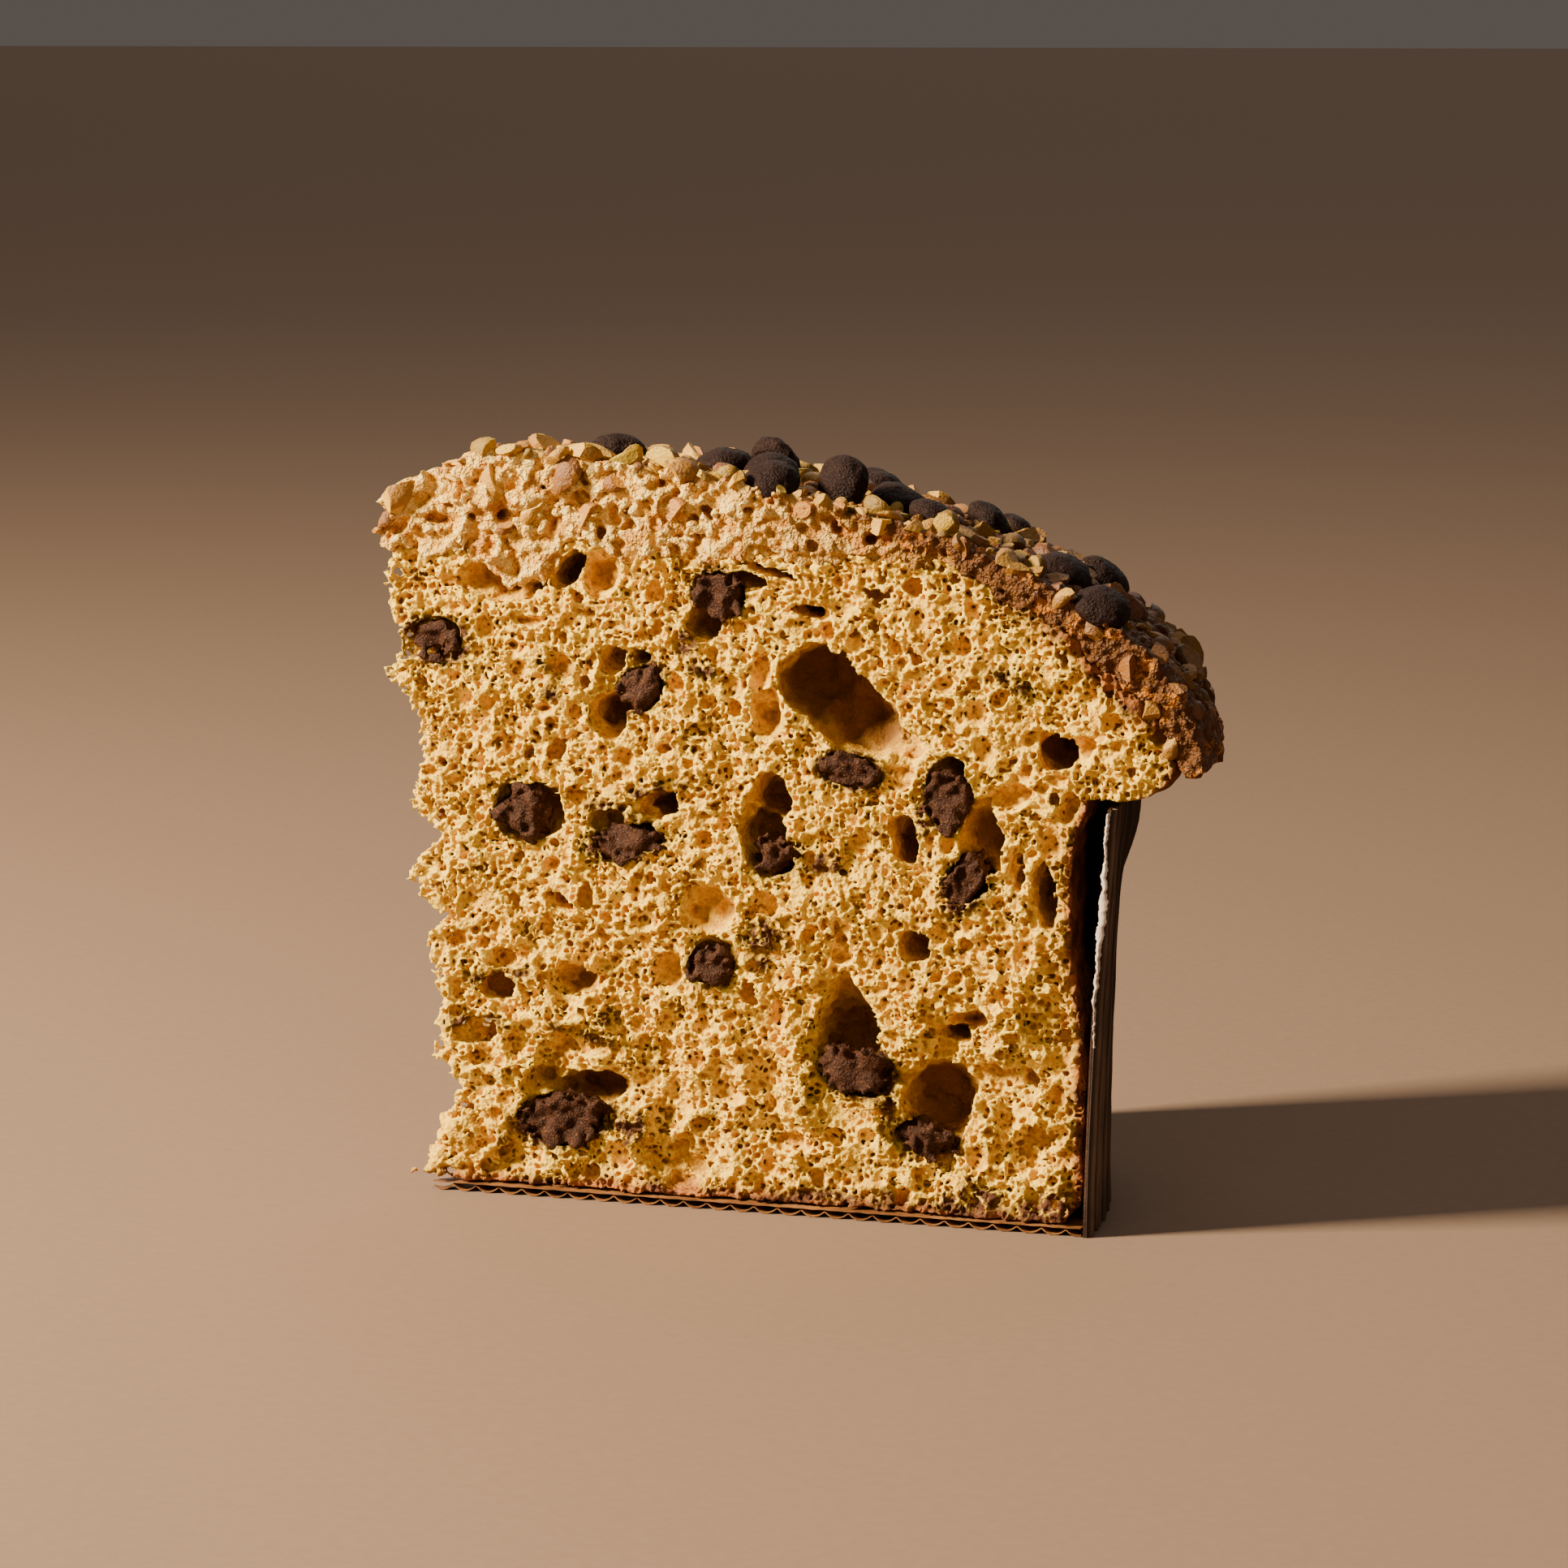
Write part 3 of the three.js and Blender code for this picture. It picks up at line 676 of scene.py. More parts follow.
@dataclass(frozen=True)
class Lump:
    """A hollow or a lump with its own place on a cut.

    x is its distance along the cut and z its height, width, height and depth its size, tilt
    its turn in degrees, taper how much narrower it is at the top, and back how far its
    middle lies behind the cut.
    """

    x: float
    z: float
    width: float
    height: float
    depth: float
    tilt: float = 0.0
    taper: float = 0.0
    back: float = 0.0

    @property
    def turn(self) -> Array:
        """The directions of its own axes."""
        return tilted(math.radians(self.tilt))

    def press(self, block: VoxelBlock, values: Array, grow: float, reach: float) -> None:
        """Stamp it, grown on every side, into a block of distances."""
        radii = (self.width / 2 + grow, self.depth / 2 + grow, self.height / 2 + grow)
        block.stamp(values, (self.x, self.back, self.z), radii, self.turn, reach, self.taper)


NEAR_HOLES = (
    Lump(12.6, 95.0, 16.7, 5.2, 10, -9, 0, 0.8),
    Lump(22.6, 97.0, 7.3, 3.9, 14, 52, 0, 3),
    Lump(28.0, 96.9, 6.5, 7.4, 10, 0, 0, 1.2),
    Lump(33.6, 93.3, 3.3, 3.1, 3.6),
    Lump(3.4, 94.7, 4.5, 2.5, 3.4),
    Lump(5.1, 90.8, 6.6, 1.7, 3, -4),
    Lump(16.6, 89.2, 5.0, 1.9, 3.6),
    Lump(23.7, 89.3, 3.9, 2.7, 3.6),
    Lump(29.9, 88.7, 3.9, 2.2, 3.6),
    Lump(14.7, 85.1, 3.9, 2.2, 5, 5, 0, 0.2),
    Lump(21.5, 82.5, 4.4, 4.0, 6, 0, 0, 0.6),
    Lump(18.9, 76.0, 3.7, 1.7, 3.6, -8),
    Lump(13.8, 73.9, 3.1, 2.7, 3.4),
    Lump(29.5, 75.4, 6.5, 6.7, 15, 0, 0, 3.4),
    Lump(33.9, 84.0, 3.2, 2.7, 10, 0, 0, 2.2),
    Lump(30.0, 83.6, 4.4, 4.9, 10, -40, 0, 2.4),
    Lump(43.9, 89.9, 6.6, 6.1, 11, 0, 0, 2.4),
    Lump(50.9, 96.4, 7.1, 2.9, 11, -8, 0, 2.2),
    Lump(54.9, 97.9, 11.4, 1.6, 11, -14, 0, 2.2),
    Lump(43.1, 73.4, 2.6, 2.5, 4, 0, 0, 0.2),
    Lump(38.1, 70.6, 2.6, 1.7, 5, 0, 0, 0.4),
    Lump(30.6, 66.1, 2.6, 2.5, 3.6),
    Lump(53.3, 82.7, 3.6, 6.8, 6, -4, 0, 0.4),
    Lump(54.5, 76.6, 4.8, 8.8, 7.5, 4, 0, 0.4),
    Lump(62.3, 81.6, 13.0, 11.6, 18, 0, 0, 2.6),
    Lump(67.2, 76.8, 16.0, 11.6, 18, -25, 0, 2.2),
    Lump(74.2, 73.4, 9.5, 4.6, 10, -22, 0, 0.8),
    Lump(61.3, 92.1, 5.3, 1.9, 12, -10, 0, 2.8),
    Lump(66.3, 92.5, 5.6, 3.6, 3.6, -10),
    Lump(87.0, 78.0, 4.4, 4.1, 5),
    Lump(81.9, 82.0, 3.2, 3.1, 4.6),
    Lump(78.1, 82.5, 2.5, 2.2, 3.6),
    Lump(95.6, 74.6, 4.9, 2.6, 4.4, 25),
    Lump(98.5, 72.7, 5.9, 6.3, 15, 20, 0, 3),
    Lump(102.2, 73.2, 6.1, 4.3, 7, 18, 0, 0.2),
    Lump(108.1, 77.1, 4.9, 2.9, 4.4, -35),
    Lump(101.0, 64.6, 3.1, 5.1, 6, -20, 0, 0.2),
    Lump(82.9, 69.5, 5.0, 3.6, 12, 0, 0, 2.6),
    Lump(75.0, 69.1, 5.8, 6.8, 5.5),
    Lump(55.0, 63.7, 6.6, 9.6, 15, 0, 0.1, 2.4),
    Lump(53.8, 57.9, 7.9, 10.4, 14, 10, 0, 2),
    Lump(75.8, 58.0, 5.6, 8.3, 16, 0, 0, 3.8),
    Lump(87.9, 59.6, 7.2, 10.7, 15, 6, 0.1, 2),
    Lump(91.7, 65.5, 7.7, 4.4, 7, 15, 0, 0.2),
    Lump(93.1, 54.3, 2.2, 6.7, 8, 0, 0, 1),
    Lump(97.1, 50.9, 3.9, 10.5, 14, 4, 0, 2.4),
    Lump(98.1, 59.5, 3.9, 6.3, 5),
    Lump(94.0, 42.2, 3.5, 8.1, 5, -10),
    Lump(77.3, 42.1, 5.0, 5.5, 12, 0, 0, 2.4),
    Lump(65.8, 42.2, 4.8, 8.2, 7, 0, 0.1, 0.3),
    Lump(66.4, 30.1, 9.4, 15.4, 15, 0, 0.5, 1.8),
    Lump(83.0, 29.0, 6.0, 2.5, 13, -8, 0, 2.8),
    Lump(85.3, 31.3, 7.5, 3.4, 10, 10, 0, 1.2),
    Lump(16.3, 60.0, 11.0, 8.5, 14, 0, 0, 1.6),
    Lump(19.9, 51.6, 3.4, 3.0, 6, 20, 0, 0.2),
    Lump(21.1, 46.1, 5.9, 2.3, 9, -30, 0, 1.2),
    Lump(29.1, 59.0, 6.2, 3.5, 9, 10, 0, 1.2),
    Lump(37.5, 61.8, 7.2, 4.7, 15, 10, 0, 3.4),
    Lump(44.6, 46.0, 9.8, 8.2, 9, 0, 0, 0.4),
    Lump(45.3, 38.5, 7.5, 7.0, 9, 0, 0, 1.2),
    Lump(11.7, 36.8, 4.0, 3.2, 7, 0, 0, 1.2),
    Lump(10.9, 32.2, 6.1, 4.3, 14, 8, 0, 3.4),
    Lump(7.9, 25.4, 8.3, 4.8, 11, 5, 0, 1.8),
    Lump(23.3, 33.8, 6.8, 5.3, 10, 12, 0, 1),
    Lump(33.0, 27.3, 2.3, 4.0, 7, 0, 0, 0.4),
    Lump(8.1, 45.7, 5.6, 5.8, 3.6),
    Lump(18.1, 17.9, 6.9, 5.1, 9, 0, 0, 0.8),
    Lump(25.7, 17.5, 13.2, 6.1, 14, 4, 0, 2.4),
    Lump(81.0, 18.4, 11.1, 11.9, 17, 0, 0, 3),
    Lump(95.0, 23.1, 2.7, 5.5, 8, 25, 0, 0.8),
    Lump(40.8, 4.1, 6.5, 4.2, 8, 0, 0, 0.6),
    Lump(47.7, 17.6, 6.5, 3.3, 6, 5, 0, 0.2),
    Lump(56.6, 24.8, 3.3, 2.2, 5, 0, 0, 0.2),
    Lump(38.5, 16.1, 3.9, 2.0, 5, 0, 0, 0.2),
    Lump(91.6, 16.7, 3.2, 3.7, 6, 0, 0, 0.4),
)

NEAR_CHUNKS = (
    Lump(1.6, 85.6, 9.8, 6.5, 6.5, back=0.2),
    Lump(46.5, 94.0, 7.6, 6.8, 9, back=1.6),
    Lump(33.9, 79.4, 5.4, 8.6, 8, -42, back=1),
    Lump(15.7, 59.6, 8.7, 7.8, 8, back=2.4),
    Lump(31.6, 56.0, 10.1, 4.7, 8, 12, back=1.4),
    Lump(67.2, 68.6, 8.6, 4.9, 7, -8, back=0.9),
    Lump(55.4, 55.0, 6.6, 5.4, 8, back=3.4),
    Lump(82.5, 65.2, 6.5, 9.2, 8, 6, back=1.2),
    Lump(85.1, 52.1, 5.7, 9.3, 9, -30, back=3),
    Lump(45.2, 37.6, 6.4, 5.7, 6, back=2.2),
    Lump(68.1, 22.8, 10.9, 7.7, 10, -14, back=2.4),
    Lump(79.0, 13.0, 8.3, 5.0, 9, -8, back=3),
    Lump(21.3, 12.3, 14.8, 7.4, 9, 10, back=2),
)

FAR_CHUNKS = (
    Lump(24, 68, 8.6, 7.2, 7),
    Lump(47, 30, 9.4, 7.6, 7),
    Lump(63, 84, 8, 8.8, 7),
    Lump(78, 52, 9.8, 6.8, 7),
    Lump(93, 22, 7.8, 8.2, 7),
)

SMEARS = (
    Lump(20.0, 78.1, 2.3, 2.2, 4),
    Lump(21.5, 82.0, 3.9, 2.7, 4),
    Lump(44.4, 82.7, 3.1, 1.7, 3, -10),
    Lump(42.0, 87.1, 3.1, 4.9, 4, -25),
    Lump(64.0, 54.3, 7.3, 3.4, 4, 15),
    Lump(54.2, 42.3, 6.9, 6.5, 4, 20),
    Lump(53.6, 38.3, 3.8, 3.2, 4),
    Lump(45.7, 32.4, 8.3, 3.8, 3, 5),
    Lump(43.3, 39.1, 2.8, 2.7, 4),
    Lump(46.9, 39.9, 3.1, 3.5, 4, -30),
    Lump(29.9, 60.6, 5.5, 2.2, 5, -15),
    Lump(37.6, 64.1, 6.5, 1.7, 3, 10),
    Lump(10.9, 33.9, 6.6, 1.5, 4, 10),
    Lump(7.0, 26.5, 6.4, 2.3, 5, 5),
    Lump(92.1, 82.7, 3.7, 1.4, 3, -25),
    Lump(78.7, 64.2, 2.5, 7.3, 3),
    Lump(26.2, 25.0, 7.9, 1.8, 3, -15),
    Lump(28.8, 28.3, 1.8, 1.5, 3),
    Lump(32.0, 12.0, 5.8, 5.6, 5, -30),
    Lump(73.2, 18.4, 2.3, 7.0, 5),
    Lump(73.2, 27.1, 2.0, 3.7, 3, -20),
    Lump(45.3, 14.2, 1.8, 1.8, 3),
    Lump(86.0, 4.4, 9.8, 4.7, 5),
    Lump(100.1, 3.4, 12.4, 5.7, 6, -5),
    Lump(72.6, 3.8, 5.1, 3.0, 4),
    Lump(63.9, 3.0, 7.7, 2.0, 4),
    Lump(56.6, 1.7, 6.4, 1.5, 4),
    Lump(104.8, 19.2, 4.7, 7.6, 5),
    Lump(83.0, 68.1, 2.5, 2.4, 3),
    Lump(14.8, 8.4, 5.3, 2.3, 3),
    Lump(76.9, 42.1, 4.5, 4.9, 3),
)

TIP_EDGE = (
    (0, -1.4), (3, -1.6), (4.6, -1.4), (6, -0.8), (9, 1.0), (12, 3.0), (16, 4.2), (18, 3.8), (21, 1.0),
    (25, 0.8), (29, 2.0), (34, 0.4), (40, 0.0), (43, 3.0), (46, -1.0), (48.5, -3.6), (50, -3.4),
    (53, 0.0), (56.5, 2.0), (59, -1.8), (62, -2.4), (66, -1.0), (72, -1.8), (78, -4.0), (80.6, -6.4),
    (82.2, -6.8), (83.6, -3.4), (90, -5.8), (96, -7.0), (104, -8.6),
)


@dataclass(frozen=True)
class CrumbForm:
    """The form of the crumb before its cuts are torn, as distances that are negative inside."""

    cake: Cake

    def rim_radius(self, z: Array) -> Array:
        """Radius of the crumb's outside at each height."""
        side = self.cake.crumb_side - 1.6 * smoothstep(z, 30, 44) * (1 - smoothstep(z, 55, 65))
        foot = 1.8 * (1 - smoothstep(z, 1.8, 4.5))
        reach = self.cake.dome_radius - 3.3
        share = np.clip((z - self.cake.overhang_z) / 6.4, 0, 1)
        side = side + 0.8 * smoothstep(z, 60, 65)
        overhang = side + 4 + (reach - side - 4) * np.sqrt(share * (2 - share))
        return np.where(z < self.cake.overhang_z, side - foot, overhang)

    def distances(self, x: Array, y: Array, z: Array) -> tuple[Array, ...]:
        """Distances to the two cuts, the broken thin edge, the outside and the underside."""
        cake = self.cake
        radius = np.sqrt(x * x + y * y)
        normal = cake.far_normal
        cuts = np.maximum(-y, normal.x * x + normal.y * y + normal.z * z)
        heights, edges = np.array(TIP_EDGE).T
        tip = np.interp(z, heights, edges) - x
        top = (z - cake.seam_z(x, y)) * (1 - 0.55 * smoothstep(radius, 70, 118))
        side = radius - self.rim_radius(z)
        return cuts, tip, side, top, cake.crumb_floor - z + 0 * x


@dataclass
class TornCut:
    """One cut of the crumb: froth torn open by the knife, down to a depth behind it.

    The crumb is a field of distances on a grid. Large hollows, bubbles and a fine froth are
    taken out of it wherever the cut opens them, and its zero level becomes the mesh.
    """

    cake: Cake
    cut: Cut
    voxel: float
    slabs: int
    most: int
    seed: int
    holes: tuple[Lump, ...] = ()
    chunks: tuple[Lump, ...] = ()
    smears: tuple[Lump, ...] = ()
    depth: float = 13.5
    top: float = 104.0
    set_back: float = 0.8
    pore_depth: float = 3.0
    loose_depth: float = 1.6
    small_hole: float = 4.6
    core_depth: float = 9.0
    flake_depth: float = 2.3
    flake_back: float = 2.0
    foot_flakes: tuple[tuple[float, float, float, float], ...] = (
        (-0.8, 2.9, 4.6, 1.0),
        (3.4, 2.6, 3.8, 1.0),
        (2.4, 5.0, 4.0, 2.6),
        (4.4, 8.8, 3.6, 3.8),
    )
    froth: float = 1.2
    bubble_sizes: tuple[tuple[int, float, float, float], ...] = (
        (90, 1.6, 2.5, 1.1),
        (1300, 1.0, 1.6, 1.1),
        (5200, 0.65, 1.0, 1.0),
    )
    block: VoxelBlock = field(init=False)
    pieces: list[Piece] = field(default_factory=list)

    def __post_init__(self) -> None:
        """Lay the grid over the layer."""
        low = (-12.0 if self.cut is Cut.NEAR else -3.0, -1.2, 0.6)
        self.block = VoxelBlock(low, (118.8, self.depth + 1.0, 103.5), self.voxel)

    def bubbles(self, body: Array, hollow: Array) -> Array:
        """Distances to the bubbles that the cut opens, packed from large to small."""
        draw = seeded(self.seed)
        space = self.block.filled(3.0)
        for count, small, large, keep in self.bubble_sizes:
            spots = draw.uniform((-10, -1.3, 2), (118, 0.9 * large + 1.4, 102), (count, 3))
            cells = self.block.index(spots)
            fits = body[cells] < 0.3
            for spot, i, j, k in zip(spots[fits], *(c[fits] for c in cells)):
                radius = draw.uniform(small, large)
                stretch, angle = draw.uniform(0.85, 1.45), draw.normal(0.0, 0.6)
                if space[i, j, k] < keep * radius or hollow[i, j, k] < 0.5 + 0.8 * radius:
                    continue
                radii = (radius, radius, radius * stretch)
                self.block.stamp(space, spot, radii, tilted(angle), 1.6)
        return space

    def pores(self) -> tuple[Array, Array]:
        """Distances to the cells of the fine froth near the cut, and a number for each cell."""
        layers = min(self.block.shape[1], int(6.2 / self.voxel))
        froth = np.full(self.block.shape, 2.0, np.float32)
        jag = self.block.filled(0.0)
        cells, numbers = self.block.froth(self.froth, self.seed + 8, layers)
        wall = 0.25 + 0.2 * self.block.noise(2.6, self.seed + 6)[:, :layers]
        froth[:, :layers] = 0.62 * (wall - cells)
        jag[:, :layers] = numbers
        return froth, jag

    def field(self) -> dict[str, Array]:
        """Distances to the torn crumb, and what its finish needs, at every sample."""
        block, seed = self.block, self.seed
        u, v, w = block.axes()
        x, y, z = self.cake.on_cut(self.cut, u, v, w)
        cuts, tip, side, top, under = CrumbForm(self.cake).distances(x, y, z)
        froth, jag = self.pores()
        fine = block.noise(0.62, seed + 10)
        ragged = block.noise(6.0, seed + 1) * 0.8 + block.noise(1.7, seed + 2) * 0.6 + 0.35 * fine + 0.5 * jag
        loose = (1 - smoothstep(z, 22, 56)) * smoothstep(z, 2.0, 6.0)
        tufts = block.noise(5.5, seed + 3) * 2.4 + block.noise(2.6, seed + 4) * 1.5
        torn_out = loose * smoothstep(u, 1.0, 14.0) * (1.1 + tufts)
        torn = cuts + np.maximum(0.0, self.set_back + ragged + torn_out)
        torn = np.maximum(torn, (tip + 1.2 * block.noise(3.4, seed + 9) + 0.7 * ragged) * 0.9)
        dent = block.noise(2.4, seed + 5)
        skin = np.maximum(side + 0.45 * dent + 0.4 * block.noise(7.0, seed + 14), under + 0.25 + 0.3 * dent)
        torn = np.maximum(torn, np.maximum(skin, top))
        hollow = block.filled(6.0)
        small = block.filled(3.0)
        for hole in self.holes:
            is_small = min(hole.width, hole.height) < self.small_hole
            hole.press(block, small if is_small else hollow, 0.0, 3.0)
        for chunk in self.chunks:
            chunk.press(block, hollow, 0.45, 3.0)
        body = np.maximum(np.maximum(cuts, np.maximum(side, top)), under)
        space = np.minimum(self.bubbles(body, np.minimum(hollow, small)), small)
        wisp = block.noise(1.5, seed + 12)
        swell = 0.75 * block.noise(3.0, seed + 11) + 0.45 * block.noise(7.0, seed + 13)
        hollow += swell + 0.4 * wisp + 0.2 * fine
        void = np.minimum(space + 0.24 * fine + 0.3 * wisp, hollow)
        membrane = 0.16 + 0.2 * block.noise(1.1, seed + 7) - void
        behind = v - loose * self.loose_depth - self.pore_depth
        froth = np.maximum(np.maximum(froth, membrane), behind)
        void = np.minimum(void, froth)
        distance = np.maximum(torn, -void)
        if self.cut is Cut.NEAR:
            flake = block.filled(2.0)
            for x_place, height, reach, thick in self.foot_flakes:
                centre, radii = (x_place, self.flake_back, height), (reach, self.flake_depth, thick)
                block.stamp(flake, centre, radii, np.eye(3), 2.0)
            distance = np.minimum(distance, np.maximum(flake + 0.35 * wisp + 0.3 * fine, -froth))
        outside = connected(distance > 0, body > self.voxel)
        distance = np.where((distance > 0) & ~outside, -0.5 * self.voxel, distance)
        core = (distance <= 0) & (v > min(self.core_depth, self.depth - 3)) & (body < -2)
        solid = connected(distance <= 0, core)
        distance = np.where((distance <= 0) & ~solid, 0.5 * self.voxel, distance)
        crust = np.maximum(side, 0.62 * under + 0.5 * dent)
        baked = smoothstep(z, 60, 72) * smoothstep(np.sqrt(x * x + y * y), 70, 104)
        crust = np.maximum(smoothstep(crust, -1.9, -0.4), smoothstep(top, -3.2, -0.6) * baked)
        crust = np.maximum(crust, 0.5 * smoothstep(side + 1.2 * dent, -5.5, -0.8))
        half = math.radians(self.cake.wedge_deg / 2)
        lean = self.cake.apex_lean / self.cake.lean_height
        across = math.cos(half) * y - math.sin(half) * (x + lean * z)
        return {"distance": distance.astype(np.float32), "crust": crust, "across": across}

    def smear(self) -> Array:
        """How smeared with chocolate the crumb is."""
        spread = self.block.filled(2.4)
        for lump in self.chunks:
            lump.press(self.block, spread, 0.2, 2.4)
        for lump in self.smears:
            lump.press(self.block, spread, -0.3, 2.4)
        return 1 - smoothstep(spread, 0.1, 1.5)

    def build(self) -> None:
        """Make the layer in slabs, one above the other."""
        found = self.field()
        distance = found["distance"]
        opened = self.block.blurred((distance > 0).astype(np.float32), 0.95)
        smear = self.smear()
        _, v, w = self.block.axes()
        far = self.cut is Cut.FAR
        distance = np.maximum(half_of(distance, found["across"], far), v - self.depth)
        place = partial(self.cake.from_cut, self.cut)
        for slab in range(self.slabs):
            low = self.top * slab / self.slabs
            high = self.top * (slab + 1) / self.slabs
            part = distance + (LAP_STEP if slab else 0.0) * (1 - smoothstep(w, low, low + LAP_FADE))
            part = np.maximum(part, np.maximum(low - w, w - high - LAP))
            piece = self.block.surface(part, place, f"crumb_{self.cut.value}_{slab + 1}", far)
            thinned(piece, self.most)
            points = self.cake.to_cut(self.cut, vertices_of(piece))
            cells = self.block.index(points)
            # open and depth drive the crumb's painted shade in its hollows and painted highlight on its rims.
            add_values(piece, "open", opened[cells])
            add_values(piece, "depth", points[:, 1])
            add_values(piece, "crust", found["crust"][cells])
            add_values(piece, "smear", smear[cells])
            self.pieces.append(piece)


@dataclass
class Crumb:
    """The crumb of the slice: a torn layer behind each cut, and the core between them."""

    cake: Cake
    core_voxel: float = 0.9
    core_most: int = 24000
    far_hole_count: int = 26
    pieces: list[Piece] = field(default_factory=list)

    def far_holes(self) -> tuple[Lump, ...]:
        """Hollows of the far cut, which no one has seen, spread at random."""
        draw, count = seeded(41), self.far_hole_count
        places = zip(draw.uniform(14, 92, count), draw.uniform(10, 86, count))
        sizes = draw.uniform((4.4, 5.2, 7.0), (10.4, 12.4, 13.0), (count, 3))
        return tuple(Lump(x, z, *size, draw.uniform(-30, 30)) for (x, z), size in zip(places, sizes))

    def core(self, near_depth: float, far_depth: float) -> Piece:
        """The crumb between the two torn layers, which shows only at its crust."""
        block = VoxelBlock((8.0, 6.0, 0.0), (119.7, 87.0, 104.4), self.core_voxel)
        x, y, z = block.axes()
        _, _, side, top, under = CrumbForm(self.cake).distances(x, y, z)
        distance = np.maximum(np.maximum(side, top), under) + 0.06 + 0.15 * block.noise(2.6, 3)
        way = self.cake.along_far_cut
        lean = self.cake.apex_lean / self.cake.lean_height
        far_behind = way.y * (x + lean * z) - way.x * y
        overlap = 0.9
        behind = np.maximum(near_depth - overlap - y, far_depth - overlap - far_behind)
        distance = np.maximum(distance, behind)
        piece = block.surface(distance.astype(np.float32), self.cake.placed, "crumb_core")
        thinned(piece, self.core_most)
        count = len(piece.data.vertices)
        for name, value in (("open", 0.5), ("depth", 0.0), ("crust", 1.0), ("smear", 0.0)):
            add_values(piece, name, np.full(count, value))
        return piece

    def build(self) -> None:
        """Make the layers and the core, and dress them."""
        near = TornCut(
            self.cake, Cut.NEAR, voxel=0.28, slabs=5, most=180000, seed=5,
            holes=NEAR_HOLES, chunks=NEAR_CHUNKS, smears=SMEARS,
        )
        far = TornCut(
            self.cake, Cut.FAR, voxel=0.42, slabs=2, most=145000, seed=60,
            holes=self.far_holes(), chunks=FAR_CHUNKS, depth=9.0,
        )
        for layer in (near, far):
            layer.build()
            self.pieces.extend(layer.pieces)
        self.pieces.append(self.core(near.depth, far.depth))
        finish = CrumbFinish().material()
        for piece in self.pieces:
            stand_in(piece, finish, "crumb", "crumb")


@dataclass(frozen=True)
class ChocolateFinish:
    """Dark chocolate, dulled by heat and dusted with bloom.

    dark is its colour, bloom the colour of the dust, speckle how much of it shows and grain
    the relief in millimetres.
    """

    name: str
    dark: Colour = (0.034, 0.0105, 0.004)
    bloom: Colour = (0.15, 0.06, 0.027)
    speckle: float = 0.62
    grain: float = 0.25

    def material(self) -> bpy.types.Material:
        """Build the material."""
        graph = Graph(self.name)
        cloud = graph.noise(1.8, 4.0)
        spot = graph.noise(0.35, 2.0)
        dusty = graph.times(graph.rise(spot, self.speckle - 0.06, self.speckle + 0.1), 0.8)
        dusty = graph.plus(dusty, graph.times(graph.rise(cloud, 0.42, 0.8), 0.28), True)
        colour = graph.mix(dusty, self.dark, self.bloom)
        rough = graph.plus(0.42, graph.times(cloud, 0.3))
        normal = graph.bump(graph.plus(cloud, spot), self.grain)
        graph.shader.inputs["Specular IOR Level"].default_value = 0.12
        return graph.finish(colour, rough, normal)


@dataclass
class ChocolateChunks:
    """Crumbly pieces of dark chocolate, cut through or standing in their hollows."""

    cake: Cake
    voxel: float = 0.24
    most: int = 6000
    lobes: int = 7
    set_back: float = 0.8
    pieces: list[Piece] = field(default_factory=list)

    def chunk(self, cut: Cut, lump: Lump, name: str, seed: int) -> Piece:
        """One chunk: a few rough lumps grown together, clipped at the cut."""
        reach = np.array([lump.width, lump.depth, lump.height]) * 0.5 + 1.4
        middle = np.array([lump.x, lump.back, lump.z])
        block = VoxelBlock(middle - reach, middle + reach, self.voxel)
        draw = seeded(seed)
        values = block.filled(2.5)
        size = np.array([lump.width, lump.depth, lump.height]) / 2
        for _ in range(self.lobes):
            share = draw.uniform(0.42, 0.72)
            way = draw.normal(size=3)
            way *= draw.uniform(0.5, 1.0) * (1 - share) / np.linalg.norm(way)
            centre = middle + lump.turn.T @ (way * size)
            radii = size * share * draw.uniform(0.8, 1.2, 3)
            block.stamp(values, centre, np.minimum(radii, size * 0.9), lump.turn, 2.5)
        rough = 0.9 * block.noise(2.3, seed + 1) + 0.8 * block.noise(1.05, seed + 2)
        values = values + rough + 0.35 * block.noise(0.55, seed + 3) - 0.3
        _, v, _ = block.axes()
        values = np.maximum(values, self.set_back - v + 0.8 * rough)
        start = np.zeros(block.shape, bool)
        start[block.index(middle + np.array([0.0, 1.0, 0.0]))] = True
        if not (start & (values < 0)).any():
            start = values <= np.percentile(values, 1.0)
        values = np.where((values < 0) & ~connected(values < 0, start), 0.1, values).astype(np.float32)
        piece = block.surface(values, partial(self.cake.from_cut, cut), name, cut is Cut.FAR)
        thinned(piece, self.most)
        return piece

    def build(self) -> None:
        """Make every chunk and dress it."""
        finish = ChocolateFinish("chunk_chocolate", speckle=0.6, grain=0.35).material()
        for cut, lumps, word in ((Cut.NEAR, NEAR_CHUNKS, "near"), (Cut.FAR, FAR_CHUNKS, "rear")):
            for i, lump in enumerate(lumps):
                node = f"chunk_{word}_{i + 1:02d}"
                piece = self.chunk(cut, lump, f"{node}_crumbly", 300 + 10 * i + len(word))
                stand_in(piece, finish, "chocolate", node)
                self.pieces.append(piece)


